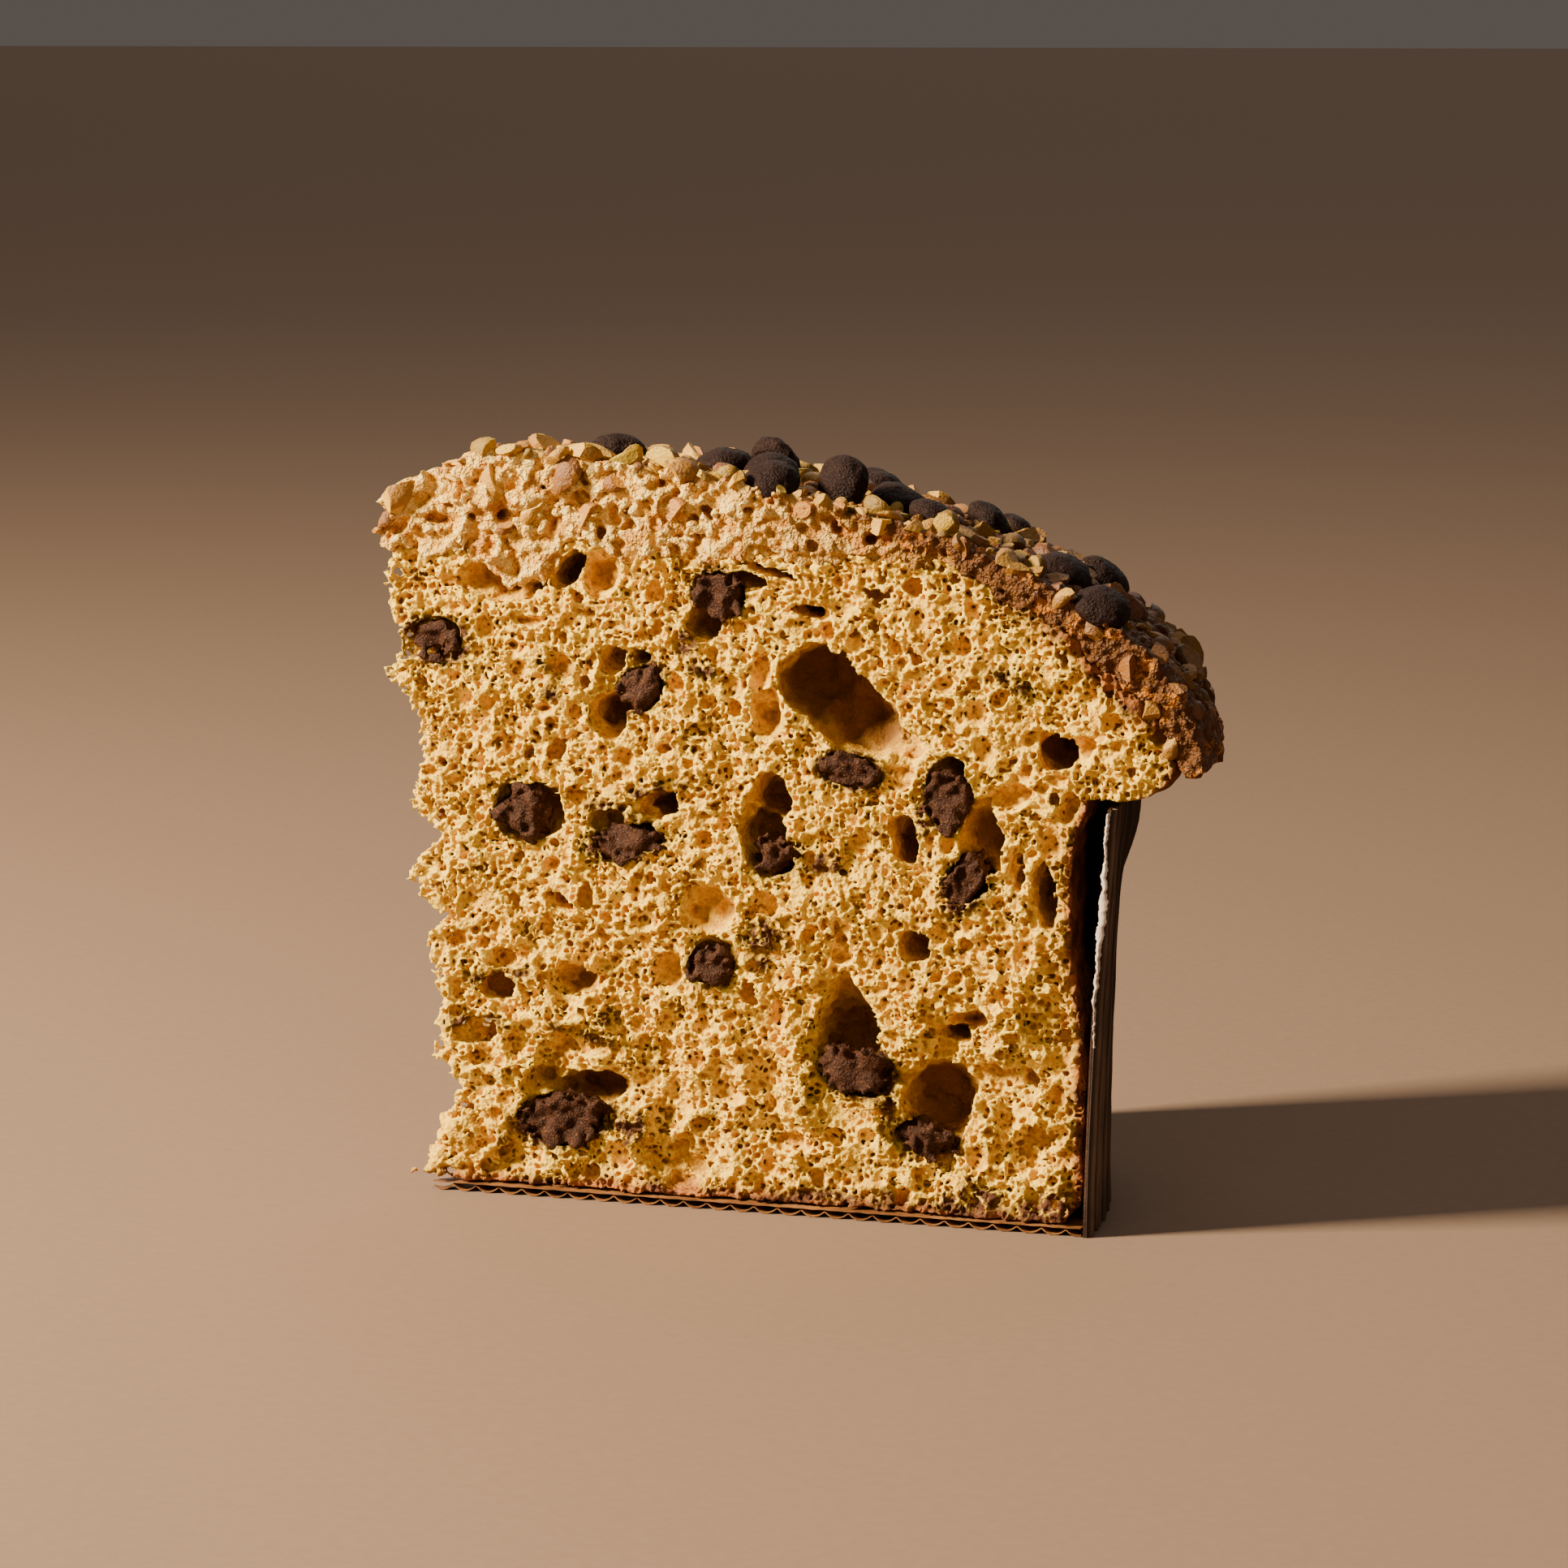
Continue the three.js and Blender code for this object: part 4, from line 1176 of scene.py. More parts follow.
@dataclass(frozen=True)
class GlazeFinish:
    """Baked sugar and almond paste: pale and crystalline inside, golden to dark brown outside."""

    sugar: Colour = (0.95, 0.68, 0.21)
    paste: Colour = (0.78, 0.395, 0.04)
    toasted: Colour = (0.45, 0.185, 0.018)
    burnt: Colour = (0.12, 0.039, 0.005)
    amber: Colour = (0.50, 0.165, 0.010)

    def material(self) -> bpy.types.Material:
        """Build the material, which reads the values baked, open and skin; open paints pale highlight on what
        stands out and shade in the crevices.
        """
        graph = Graph("glaze")
        heat = graph.plus(graph.attribute("baked"), graph.sway(graph.noise(5.0, 4.0), 0.7))
        heat = graph.plus(heat, graph.times(graph.attribute("skin"), 0.22))
        colour = graph.mix(graph.rise(heat, 0.1, 0.48), self.paste, self.toasted)
        colour = graph.mix(graph.rise(heat, 0.5, 0.95), colour, self.burnt)
        opened = graph.attribute("open")
        # Partly real sugar, partly painted highlight: open, unbaked grains that stand out are painted paler.
        light = graph.times(graph.rise(opened, 0.34, 0.66), graph.rise(heat, 0.85, 0.25))
        grains = graph.rise(graph.cell_colour(0.9), 0.35, 0.75)
        pale = graph.times(light, graph.plus(0.35, graph.times(grains, 0.6)))
        colour = graph.mix(pale, colour, self.sugar)
        bits = graph.rise(graph.cell_colour(2.6), 0.7, 0.73)
        bits = graph.times(bits, graph.rise(graph.noise(1.4, 2.0), 0.42, 0.52))
        colour = graph.mix(graph.times(bits, 0.75), colour, self.amber)
        # Painted shade: the less open the space round a point, the darker it is multiplied.
        shade = graph.mix(graph.rise(opened, 0.1, 0.4), (0.40, 0.24, 0.12), (1.0, 1.0, 1.0))
        colour = graph.mix(1.0, colour, shade, "MULTIPLY")
        crystals = graph.bump(graph.cells(0.95), 0.55)
        normal = graph.bump(graph.plus(graph.cells(0.45), graph.noise(0.35, 2.0)), 0.35, crystals)
        graph.soften(0.08, (1.0, 0.65, 0.3), 0.9)
        graph.shader.inputs["Specular IOR Level"].default_value = 0.25
        rough = graph.plus(0.45, graph.times(grains, 0.3))
        return graph.finish(colour, rough, normal)


@dataclass
class Glaze:
    """The nut glaze: a crumbly shell over the dome, thick and pale at the thin edge."""

    cake: Cake
    voxel: float = 0.42
    most: int = 185000
    seed: int = 200
    chip_x: float = 9.0
    chip_z: float = 114.5
    chip_slope: float = 0.42
    chip_scale: float = 1.0847
    hem_z: float = 69.6
    tip_x: float = -8.8
    set_back: float = 0.8
    top_grains: int = 2600
    cut_grains: int = 520
    pit_count: int = 120
    pieces: list[Piece] = field(default_factory=list)

    def dome_distance(self, x: Array, y: Array, z: Array) -> Array:
        """Distance outside the dome, nearly."""
        wide, high = self.cake.dome_radius, self.cake.dome_height
        rise = z - self.cake.dome_base_z
        flat = (x * x + y * y) / wide**2
        length = np.sqrt(flat + (rise / high) ** 2) + 1e-6
        slope = np.sqrt(flat / wide**2 + (rise / high**2) ** 2) / length + 1e-6
        return (length - 1) / slope

    def field(self, block: VoxelBlock) -> tuple[Array, Array, Array]:
        """Distances to the crumbly shell and to its smooth outside, and how baked it is."""
        x, y, z = block.axes()
        cake, seed = self.cake, self.seed
        radius = np.sqrt(x * x + y * y)
        top = self.dome_distance(x, y, z)
        coarse = block.noise(2.1, seed + 2)
        fine = block.noise(0.85, seed + 3)
        relief = 0.75 * block.noise(6.0, seed + 1) + 0.6 * coarse + 0.55 * fine
        inner = (cake.seam_z(x, y) - 0.12 - z) * (1 - 0.55 * smoothstep(radius, 70, 118))
        normal = cake.far_normal
        cuts = np.maximum(-y, normal.x * x + normal.y * y + normal.z * z)
        thick = 1 - smoothstep(radius, 42, 74)
        lumps = (0.4 + 0.7 * thick) * block.noise(5.0, seed + 4)
        torn = cuts + self.set_back + 0.75 * fine + (0.5 + 0.7 * thick) * coarse + lumps
        chip = (-self.chip_slope * (x - self.chip_x) + (z - self.chip_z)) / self.chip_scale
        chipped = chip + 0.9 * coarse + 0.8 * block.noise(4.0, seed + 5)
        hem = self.hem_z - z + 0.5 * coarse + 1.1 * block.noise(5.0, seed + 6)
        tip = self.tip_x - x + 1.3 * coarse
        body = np.maximum(np.maximum(top + relief, inner), np.maximum(torn, chipped))
        body = np.maximum(np.maximum(body, hem), tip)
        body = self.grains(block, body.astype(np.float32))
        body = np.maximum(np.maximum(body, inner), chipped - 0.9)
        body = self.pits(block, body)
        start = (body < -0.8) & (radius < 100)
        body = np.where((body < 0) & ~connected(body < 0, start), 0.3, body)
        baked = smoothstep(radius, 26, 104) + 0.0 * z
        return body.astype(np.float32), top, baked

    def grains(self, block: VoxelBlock, body: Array) -> Array:
        """Add crumbs of sugar and paste that stand out of the top and of the cuts."""
        draw = seeded(self.seed + 7)
        wedge = math.radians(self.cake.wedge_deg)
        for _ in range(self.top_grains):
            radius = self.cake.dome_radius * math.sqrt(draw.uniform(0.0, 0.96))
            angle = draw.uniform(0.01, 0.99) * wedge
            x, y = radius * math.cos(angle), radius * math.sin(angle)
            size = draw.uniform(0.4, 1.15)
            point = (x, y, float(self.cake.dome_z(radius)) + draw.uniform(-0.8, 0.0))
            self.grain(block, body, point, size, draw)
        for _ in range(self.cut_grains):
            x = draw.uniform(-8, 66)
            z = float(self.cake.dome_z(x)) - draw.uniform(0.5, float(self.cake.glaze_depth(x)))
            self.grain(block, body, (x, draw.uniform(0.7, 1.7), z), draw.uniform(0.35, 1.0), draw)
        return body

    def grain(
        self,
        block: VoxelBlock,
        body: Array,
        point: Sequence[float],
        size: float,
        draw: np.random.Generator,
    ) -> None:
        """One crumb, a little longer than it is wide, turned at random.

        Args:
            block: The block that the glaze is sampled on.
            body: Distances over it, changed in place.
            point: The crumb's middle.
            size: Half its length.
            draw: The stream of random numbers.
        """
        turn = random_turn(draw)
        block.stamp(body, point, (size, size * 0.8, size * draw.uniform(0.6, 1.0)), turn, 0.7)

    def pits(self, block: VoxelBlock, body: Array) -> Array:
        """Take out the cavities that the cuts open in the thick paste."""
        draw = seeded(self.seed + 8)
        void = block.filled(1.5)
        way = self.cake.along_far_cut
        for number in range(self.pit_count):
            along = draw.uniform(-6, 84)
            z = float(self.cake.dome_z(abs(along))) - draw.uniform(1.5, float(self.cake.glaze_depth(along)))
            point = (along, draw.uniform(0.2, 2.0), z)
            if number % 2:
                point = (way.x * along + self.cake.apex_x(z), way.y * along - 0.8, z)
            size = draw.uniform(0.5, 1.5)
            turn = random_turn(draw)
            block.stamp(void, point, (size * draw.uniform(1, 1.7), size, size * 0.7), turn, 1.2)
        return np.maximum(body, -(void + 0.25 * block.noise(0.9, self.seed + 9)))

    def build(self) -> None:
        """Make the shell in two pieces, divided near the middle of the dome, and dress them."""
        finish = GlazeFinish().material()
        block = VoxelBlock((-12.6, -1.2, 69.0), (123.0, 88.0, 119.5), self.voxel)
        body, top, baked = self.field(block)
        opened = block.blurred((body > 0).astype(np.float32), 1.1)
        x, y, _ = block.axes()
        half = math.radians(self.cake.wedge_deg / 2)
        across = math.cos(half) * y - math.sin(half) * x
        for name, beyond in (("glaze_near", False), ("glaze_far", True)):
            part = half_of(body, across, beyond)
            piece = block.surface(part.astype(np.float32), self.cake.placed, name)
            thinned(piece, self.most)
            cells = block.index(self.cake.to_cut(Cut.NEAR, vertices_of(piece)))
            # open drives the glaze's painted highlight and painted shade.
            add_values(piece, "open", opened[cells])
            add_values(piece, "skin", smoothstep(top[cells], -2.6, -0.2))
            add_values(piece, "baked", baked[cells])
            stand_in(piece, finish, "glaze", "glaze")
            self.pieces.append(piece)


class NutKind(Enum):
    """The kinds of chopped nut on the glaze: their name, flesh colour, skin colour and shape."""

    HAZELNUT = ("hazelnut", (0.62, 0.335, 0.03), (0.36, 0.155, 0.011), (1.0, 0.8, 0.72))
    ALMOND = ("almond", (0.78, 0.475, 0.065), (0.52, 0.26, 0.022), (1.0, 0.62, 0.42))
    GREEN = ("green_nut", (0.52, 0.315, 0.012), (0.28, 0.155, 0.007), (1.0, 0.75, 0.6))
    CANDIED = ("candied_nut", (0.44, 0.18, 0.012), (0.22, 0.075, 0.005), (1.0, 0.75, 0.6))

    @property
    def word(self) -> str:
        """Its name."""
        return self.value[0]


@dataclass(frozen=True)
class NutFinish:
    """Roasted nut: pale on its broken faces, darker on its skin, toned nut by nut."""

    kind: NutKind

    def material(self) -> bpy.types.Material:
        """Build the material, which reads the values broken and tone."""
        word, flesh, skin, _ = self.kind.value
        graph = Graph(word)
        cloud = graph.noise(1.6, 4.0)
        share = graph.plus(graph.attribute("broken"), graph.sway(cloud, 0.9))
        colour = graph.mix(graph.rise(share, 0.2, 0.8), skin, flesh)
        dark = graph.mix(graph.attribute("tone"), (0.34, 0.22, 0.14), (1.0, 1.0, 1.0))
        colour = graph.mix(1.0, colour, dark, "MULTIPLY")
        speck = graph.rise(graph.noise(0.4, 2.0), 0.62, 0.75)
        colour = graph.mix(graph.times(speck, 0.3), colour, flesh)
        graph.soften(0.1, (1.0, 0.6, 0.2), 0.8)
        normal = graph.bump(graph.plus(cloud, graph.noise(0.45, 3.0)), 0.3)
        return graph.finish(colour, graph.plus(0.36, graph.times(cloud, 0.3)), normal)


@dataclass
class ChoppedNuts:
    """Chopped nuts over the glaze, one piece for each kind."""

    cake: Cake
    drops: tuple["Drop", ...]
    count: int = 390
    moulds: int = 5
    seed: int = 77
    mould_seed: int = 900
    tries: int = 9000
    large_tries: int = 600
    shares: tuple[float, ...] = (0.34, 0.26, 0.26, 0.14)
    placed: tuple[tuple[float, float, float, float, float, NutKind], ...] = (
        (11.2, 0.9, 110.2, 7.4, 80, NutKind.ALMOND),
        (-3.6, 1.2, 107.4, 6.6, 38, NutKind.HAZELNUT),
        (17.2, 0.9, 105.9, 4.8, 62, NutKind.ALMOND),
        (23.6, 1.0, 110.8, 6.6, 86, NutKind.CANDIED),
        (26.2, 0.8, 105.6, 4.6, 30, NutKind.CANDIED),
        (49.7, 1.6, 110.4, 4.6, 96, NutKind.ALMOND),
        (40.2, 0.8, 107.0, 4.4, 20, NutKind.CANDIED),
        (31.0, 0.8, 110.6, 4.0, 10, NutKind.CANDIED),
        (4.6, 2.6, 111.4, 4.6, 10, NutKind.HAZELNUT),
        (-6.0, 1.0, 103.6, 3.4, 70, NutKind.CANDIED),
        (13.0, 0.7, 103.4, 2.8, 40, NutKind.CANDIED),
        (60.4, 0.8, 107.4, 3.6, 15, NutKind.CANDIED),
        (72.0, 0.9, 105.4, 3.8, 30, NutKind.HAZELNUT),
        (84.5, 0.9, 102.4, 3.6, 70, NutKind.CANDIED),
        (92.6, 0.9, 99.4, 3.4, 20, NutKind.HAZELNUT),
        (99.8, 0.9, 95.6, 4.0, 50, NutKind.ALMOND),
        (104.6, 0.9, 91.2, 3.6, 110, NutKind.HAZELNUT),
        (109.6, 0.9, 85.6, 4.2, 60, NutKind.CANDIED),
        (113.2, 0.9, 79.6, 3.8, 20, NutKind.HAZELNUT),
        (116.2, 1.0, 74.2, 3.6, 80, NutKind.ALMOND),
        (25.6, 4.0, 114.2, 5.6, 20, NutKind.HAZELNUT),
        (20.8, 4.0, 113.9, 4.2, 50, NutKind.GREEN),
        (22.8, 1.6, 112.4, 4.4, 5, NutKind.GREEN),
        (27.2, 1.6, 112.2, 4.0, 35, NutKind.GREEN),
        (30.4, 1.4, 111.2, 3.4, 70, NutKind.ALMOND),
        (35.0, 1.8, 111.6, 3.8, 15, NutKind.ALMOND),
        (37.2, 4.4, 113.8, 5.8, 4, NutKind.GREEN),
        (32.2, 4.6, 113.9, 4.4, 60, NutKind.GREEN),
        (40.2, 2.0, 111.2, 3.8, 30, NutKind.ALMOND),
        (44.2, 2.0, 110.8, 4.0, 10, NutKind.HAZELNUT),
        (46.8, 4.4, 111.6, 4.2, 40, NutKind.GREEN),
        (14.8, 3.6, 113.4, 4.4, 25, NutKind.HAZELNUT),
        (81.0, 4.4, 105.2, 5.4, 65, NutKind.GREEN),
        (94.6, 4.4, 99.4, 4.6, 50, NutKind.GREEN),
    )
    pieces: list[Piece] = field(default_factory=list)

    def mould(self, kind: NutKind, seed: int) -> Piece:
        """Model one chopped nut: a ball cut by a few flat breaks, with worn edges."""
        draw = seeded(seed)
        bpy.ops.object.select_all(action="DESELECT")
        bpy.ops.mesh.primitive_ico_sphere_add(subdivisions=2, radius=1.0)
        nut = bpy.context.object
        bpy.ops.object.mode_set(mode="EDIT")
        for _ in range(draw.integers(2, 5)):
            away = draw.normal(size=3)
            away /= np.linalg.norm(away)
            bpy.ops.mesh.select_all(action="SELECT")
            bpy.ops.mesh.bisect(
                plane_co=tuple(away * draw.uniform(0.12, 0.6)),
                plane_no=tuple(away),
                clear_outer=True,
                use_fill=True,
            )
        bpy.ops.object.mode_set(mode="OBJECT")
        bevelled(nut, 0.09, 1, 34)
        mesh = nut.data
        middle = np.mean(vertices_of(nut), axis=0)
        for vertex in mesh.vertices:
            vertex.co = (vertex.co - Vector(middle)) * (1 + draw.normal(0, 0.02))
        broken = np.array([len(face.vertices) > 4 for face in mesh.polygons], np.float32)
        attribute = mesh.attributes.new("broken", "FLOAT", "FACE")
        attribute.data.foreach_set("value", broken)
        span = vertices_of(nut)
        size = span.max(0) - span.min(0)
        mesh.transform(Matrix.Diagonal((*(np.array(kind.value[-1]) / size), 1.0)))
        only(nut)
        bpy.ops.object.shade_smooth_by_angle(angle=math.radians(38))
        return nut

    def spots(self) -> list[tuple[Vector, Vector, float, float]]:
        """Places on the dome clear of the drops: point, outward normal, size and tone."""
        draw = seeded(self.seed)
        wedge = math.radians(self.cake.wedge_deg)
        found: list[tuple[Vector, Vector, float, float]] = []
        taken = [(drop.x, drop.y, 3.4) for drop in self.drops]
        for turn in range(self.tries):
            if len(found) >= self.count:
                break
            radius = (self.cake.dome_radius - 1.4) * math.sqrt(draw.uniform(0.002, 0.995))
            angle = draw.uniform(0.01, 0.985) * wedge
            x, y = radius * math.cos(angle), radius * math.sin(angle)
            size = float(draw.uniform(3.8, 6.2) if turn < self.large_tries else draw.uniform(1.8, 3.8))
            sparse = 0.35 + 0.65 * float(smoothstep(radius, 96, 60))
            if radius < 14 and x < 9 or draw.uniform() > sparse:
                continue
            if any(math.hypot(x - a, y - b) < c + size * 0.4 for a, b, c in taken):
                continue
            taken.append((x, y, size * 0.42))
            z = float(self.cake.dome_z(radius))
            normal = self.cake.dome_normal(x, y, z)
            tone = float(1.0 - 0.75 * smoothstep(radius, 52, 108) - draw.uniform(0.0, 0.3))
            found.append((Vector((x, y, z)) + normal * size * 0.16, normal, size, max(0.0, tone)))
        return found

    def build(self) -> None:
        """Model a few nuts of each kind, copy them over the glaze and join each kind."""
        draw = seeded(self.seed + 1)
        kinds = list(NutKind)
        moulds = {
            kind: [self.mould(kind, self.mould_seed + 20 * i + j) for j in range(self.moulds)]
            for i, kind in enumerate(kinds)
        }
        copies: dict[NutKind, list[Piece]] = {kind: [] for kind in kinds}
        for point, normal, size, tone in self.spots():
            kind = kinds[int(draw.choice(len(kinds), p=self.shares))]
            spin = Quaternion(normal, draw.uniform(0, 2 * math.pi)) @ normal.to_track_quat("Z", "X")
            tilt = Quaternion(draw.normal(size=3), draw.normal(0.0, 0.5))
            matrix = self.place(point) @ (tilt @ spin).to_matrix().to_4x4() @ Matrix.Scale(size * MM, 4)
            copies[kind].append(self.copy(moulds[kind][int(draw.integers(self.moulds))], matrix, tone))
        for x, y, z, size, angle, kind in self.placed:
            facing = Matrix.Rotation(math.radians(draw.uniform(60, 120)), 4, "X")
            turn = Matrix.Rotation(math.radians(-angle), 4, "Y") @ facing
            matrix = self.place(Vector((x, y, z))) @ turn @ Matrix.Scale(size * MM, 4)
            tone = 1.0 - 0.7 * float(smoothstep(x, 60, 104))
            copies[kind].append(self.copy(moulds[kind][int(draw.integers(self.moulds))], matrix, tone))
        for kind in kinds:
            bpy.ops.object.select_all(action="DESELECT")
            for nut in copies[kind]:
                nut.select_set(True)
            bpy.context.view_layer.objects.active = copies[kind][0]
            bpy.ops.object.join()
            piece = copies[kind][0]
            piece.name = f"{kind.word}_pieces"
            stand_in(piece, NutFinish(kind).material(), "glaze", "glaze")
            self.pieces.append(piece)
            for nut in moulds[kind]:
                bpy.data.objects.remove(nut)

    def place(self, point: Vector) -> Matrix:
        """Move to a point given round the axis in millimetres."""
        return Matrix.Translation(Vector(self.cake.placed(np.array(point))))

    def copy(self, nut: Piece, matrix: Matrix, tone: float) -> Piece:
        """A copy of a nut with its own mesh, place and tone."""
        mesh = nut.data.copy()
        mesh.transform(matrix)
        made = bpy.data.objects.new("nut", mesh)
        bpy.context.scene.collection.objects.link(made)
        add_values(made, "tone", np.full(len(mesh.vertices), tone))
        return made


@dataclass(frozen=True)
class Drop:
    """A chocolate drop by its place over the base; stand tips it up on its edge, towards turn."""

    x: float
    y: float
    stand: float
    turn: float
    lift: float = 1.1


DROPS = (
    Drop(43, 15, 12, 200),
    Drop(51, 13, 38, 250),
    Drop(54, 4.6, 30, 265),
    Drop(63, 9.6, 78, 250, 2.6),
    Drop(70, 17, 25, 300),
    Drop(77, 12, 14, 20),
    Drop(97, 11, 18, 290),
    Drop(104.6, 3.6, 20, 250),
    Drop(27, 13, 16, 90),
    Drop(46, 31, 60, 80, 1.6),
    Drop(62, 34, 10, 140),
    Drop(58, 47, 24, 100),
    Drop(80, 33, 30, 35),
    Drop(78, 56, 20, 60),
    Drop(98, 32, 12, 330),
)


@dataclass
class ChocolateDrops:
    """The chocolate drops on the glaze: flat-footed buttons with rounded, dulled backs."""

    cake: Cake
    radius: float = 4.3
    height: float = 4.2
    pieces: list[Piece] = field(default_factory=list)

    def drop(self, spec: Drop, number: int) -> Piece:
        """Model one drop: a ball flattened, cut to a flat foot, worn and dented."""
        draw = seeded(500 + number)
        bpy.ops.object.select_all(action="DESELECT")
        bpy.ops.mesh.primitive_uv_sphere_add(segments=60, ring_count=34, radius=1.0)
        made = bpy.context.object
        made.name = f"drop_{number:02d}_bloomed"
        bpy.ops.object.mode_set(mode="EDIT")
        bpy.ops.mesh.select_all(action="SELECT")
        bpy.ops.transform.resize(value=(self.radius * MM, self.radius * MM, self.height * 0.62 * MM))
        foot = -self.height * 0.38 * MM
        bpy.ops.mesh.bisect(plane_co=(0, 0, foot), plane_no=(0, 0, -1), clear_outer=True, use_fill=True)
        bpy.ops.mesh.inset(thickness=0.5 * MM, depth=0.0)
        bpy.ops.object.mode_set(mode="OBJECT")
        bevelled(made, 0.4 * MM, 3, 40)
        shift = Vector(draw.uniform(0, 50, 3))
        for vertex in made.data.vertices:
            spot = vertex.co / MM
            swell = 0.14 * noise.noise(spot / 3.6 + shift) + 0.045 * noise.noise(spot / 1.3 + shift)
            swell += 0.03 * noise.noise(spot / 0.5 + shift)
            vertex.co = vertex.co * (1 + swell)
        z = float(self.cake.dome_z(math.hypot(spec.x, spec.y)))
        normal = self.cake.dome_normal(spec.x, spec.y, z)
        lean = Vector((math.cos(math.radians(spec.turn)), math.sin(math.radians(spec.turn)), 0.0))
        tip = Quaternion(normal.cross(lean).normalized(), math.radians(spec.stand))
        upright = Vector((0, 0, 1)).rotation_difference(normal)
        centre = Vector((spec.x, spec.y, z)) + normal * (spec.lift - 0.1)
        place = Matrix.Translation(Vector(self.cake.placed(np.array(centre))))
        made.data.transform(place @ (tip @ upright).to_matrix().to_4x4())
        only(made)
        bpy.ops.object.shade_smooth()
        return made

    def build(self) -> None:
        """Make every drop and dress it."""
        dark, bloom = (0.012, 0.0038, 0.0026), (0.05, 0.021, 0.014)
        finish = ChocolateFinish("drop_chocolate", dark, bloom, speckle=0.6, grain=0.4).material()
        for i, spec in enumerate(DROPS):
            piece = self.drop(spec, i + 1)
            stand_in(piece, finish, "chocolate", f"drop_{i + 1:02d}")
            self.pieces.append(piece)


@dataclass(frozen=True)
class PaperFinish:
    """Brown baking paper, greasy and darker in patches, with fine fibres.

    light and dark are its colours, and on fluted paper the valleys of the flutes are painted darker as shade.
    """

    name: str
    light: Colour
    dark: Colour
    rough: float = 0.75
    folded: bool = False

    def material(self) -> bpy.types.Material:
        """Build the material."""
        graph = Graph(self.name)
        grease = graph.noise(11.0, 4.0)
        fibre = graph.noise(0.5, 4.0, 0.7, 0.6)
        colour = graph.mix(graph.rise(grease, 0.34, 0.66), self.dark, self.light)
        colour = graph.mix(graph.times(graph.rise(fibre, 0.45, 0.75), 0.35), colour, self.light)
        if self.folded:
            # Painted shade in the valleys of the flutes.
            crest = graph.rise(graph.attribute("fold"), 0.1, 0.8)
            valley_shade = graph.mix(crest, (0.22, 0.2, 0.19), (1.0, 1.0, 1.0))
            colour = graph.mix(1.0, colour, valley_shade, "MULTIPLY")
        normal = graph.bump(graph.plus(fibre, graph.noise(2.4, 2.0)), 0.12)
        graph.shader.inputs["Specular IOR Level"].default_value = 0.3
        sheen = graph.times(graph.rise(grease, 0.66, 0.34), 0.2)
        rough = graph.math("SUBTRACT", self.rough, sheen)
        return graph.finish(colour, rough, normal)


def paper_sheet(
    name: str,
    across: int,
    up: int,
    thickness: float,
    at: Callable[[Array, Array], Array],
    cake: Cake,
) -> Piece:
    """A sheet of paper: a grid laid over a surface and given its thickness.

    Args:
        name: Name of the new object.
        across: Faces along the first direction.
        up: Faces along the second.
        thickness: Thickness of the paper in millimetres.
        at: Gives the sheet's middle, round the axis in millimetres, for shares from 0 to 1.
        cake: The cake, which places the result.

    Returns:
        The sheet, closed and facing outwards.
    """
    bpy.ops.object.select_all(action="DESELECT")
    bpy.ops.mesh.primitive_grid_add(x_subdivisions=across, y_subdivisions=up, size=2.0)
    sheet = bpy.context.object
    sheet.name = name
    share = (vertices_of(sheet)[:, :2] + 1) / 2
    points = cake.placed(at(share[:, 0], share[:, 1]))
    sheet.data.vertices.foreach_set("co", points.astype(np.float32).ravel())
    sheet.data.update()
    apply_modifier(sheet, "SOLIDIFY", thickness=thickness * MM, offset=0.0)
    only(sheet)
    bpy.ops.object.mode_set(mode="EDIT")
    bpy.ops.mesh.select_all(action="SELECT")
    bpy.ops.mesh.normals_make_consistent(inside=False)
    bpy.ops.object.mode_set(mode="OBJECT")
    bpy.ops.object.shade_smooth_by_angle(angle=math.radians(40))
    return sheet


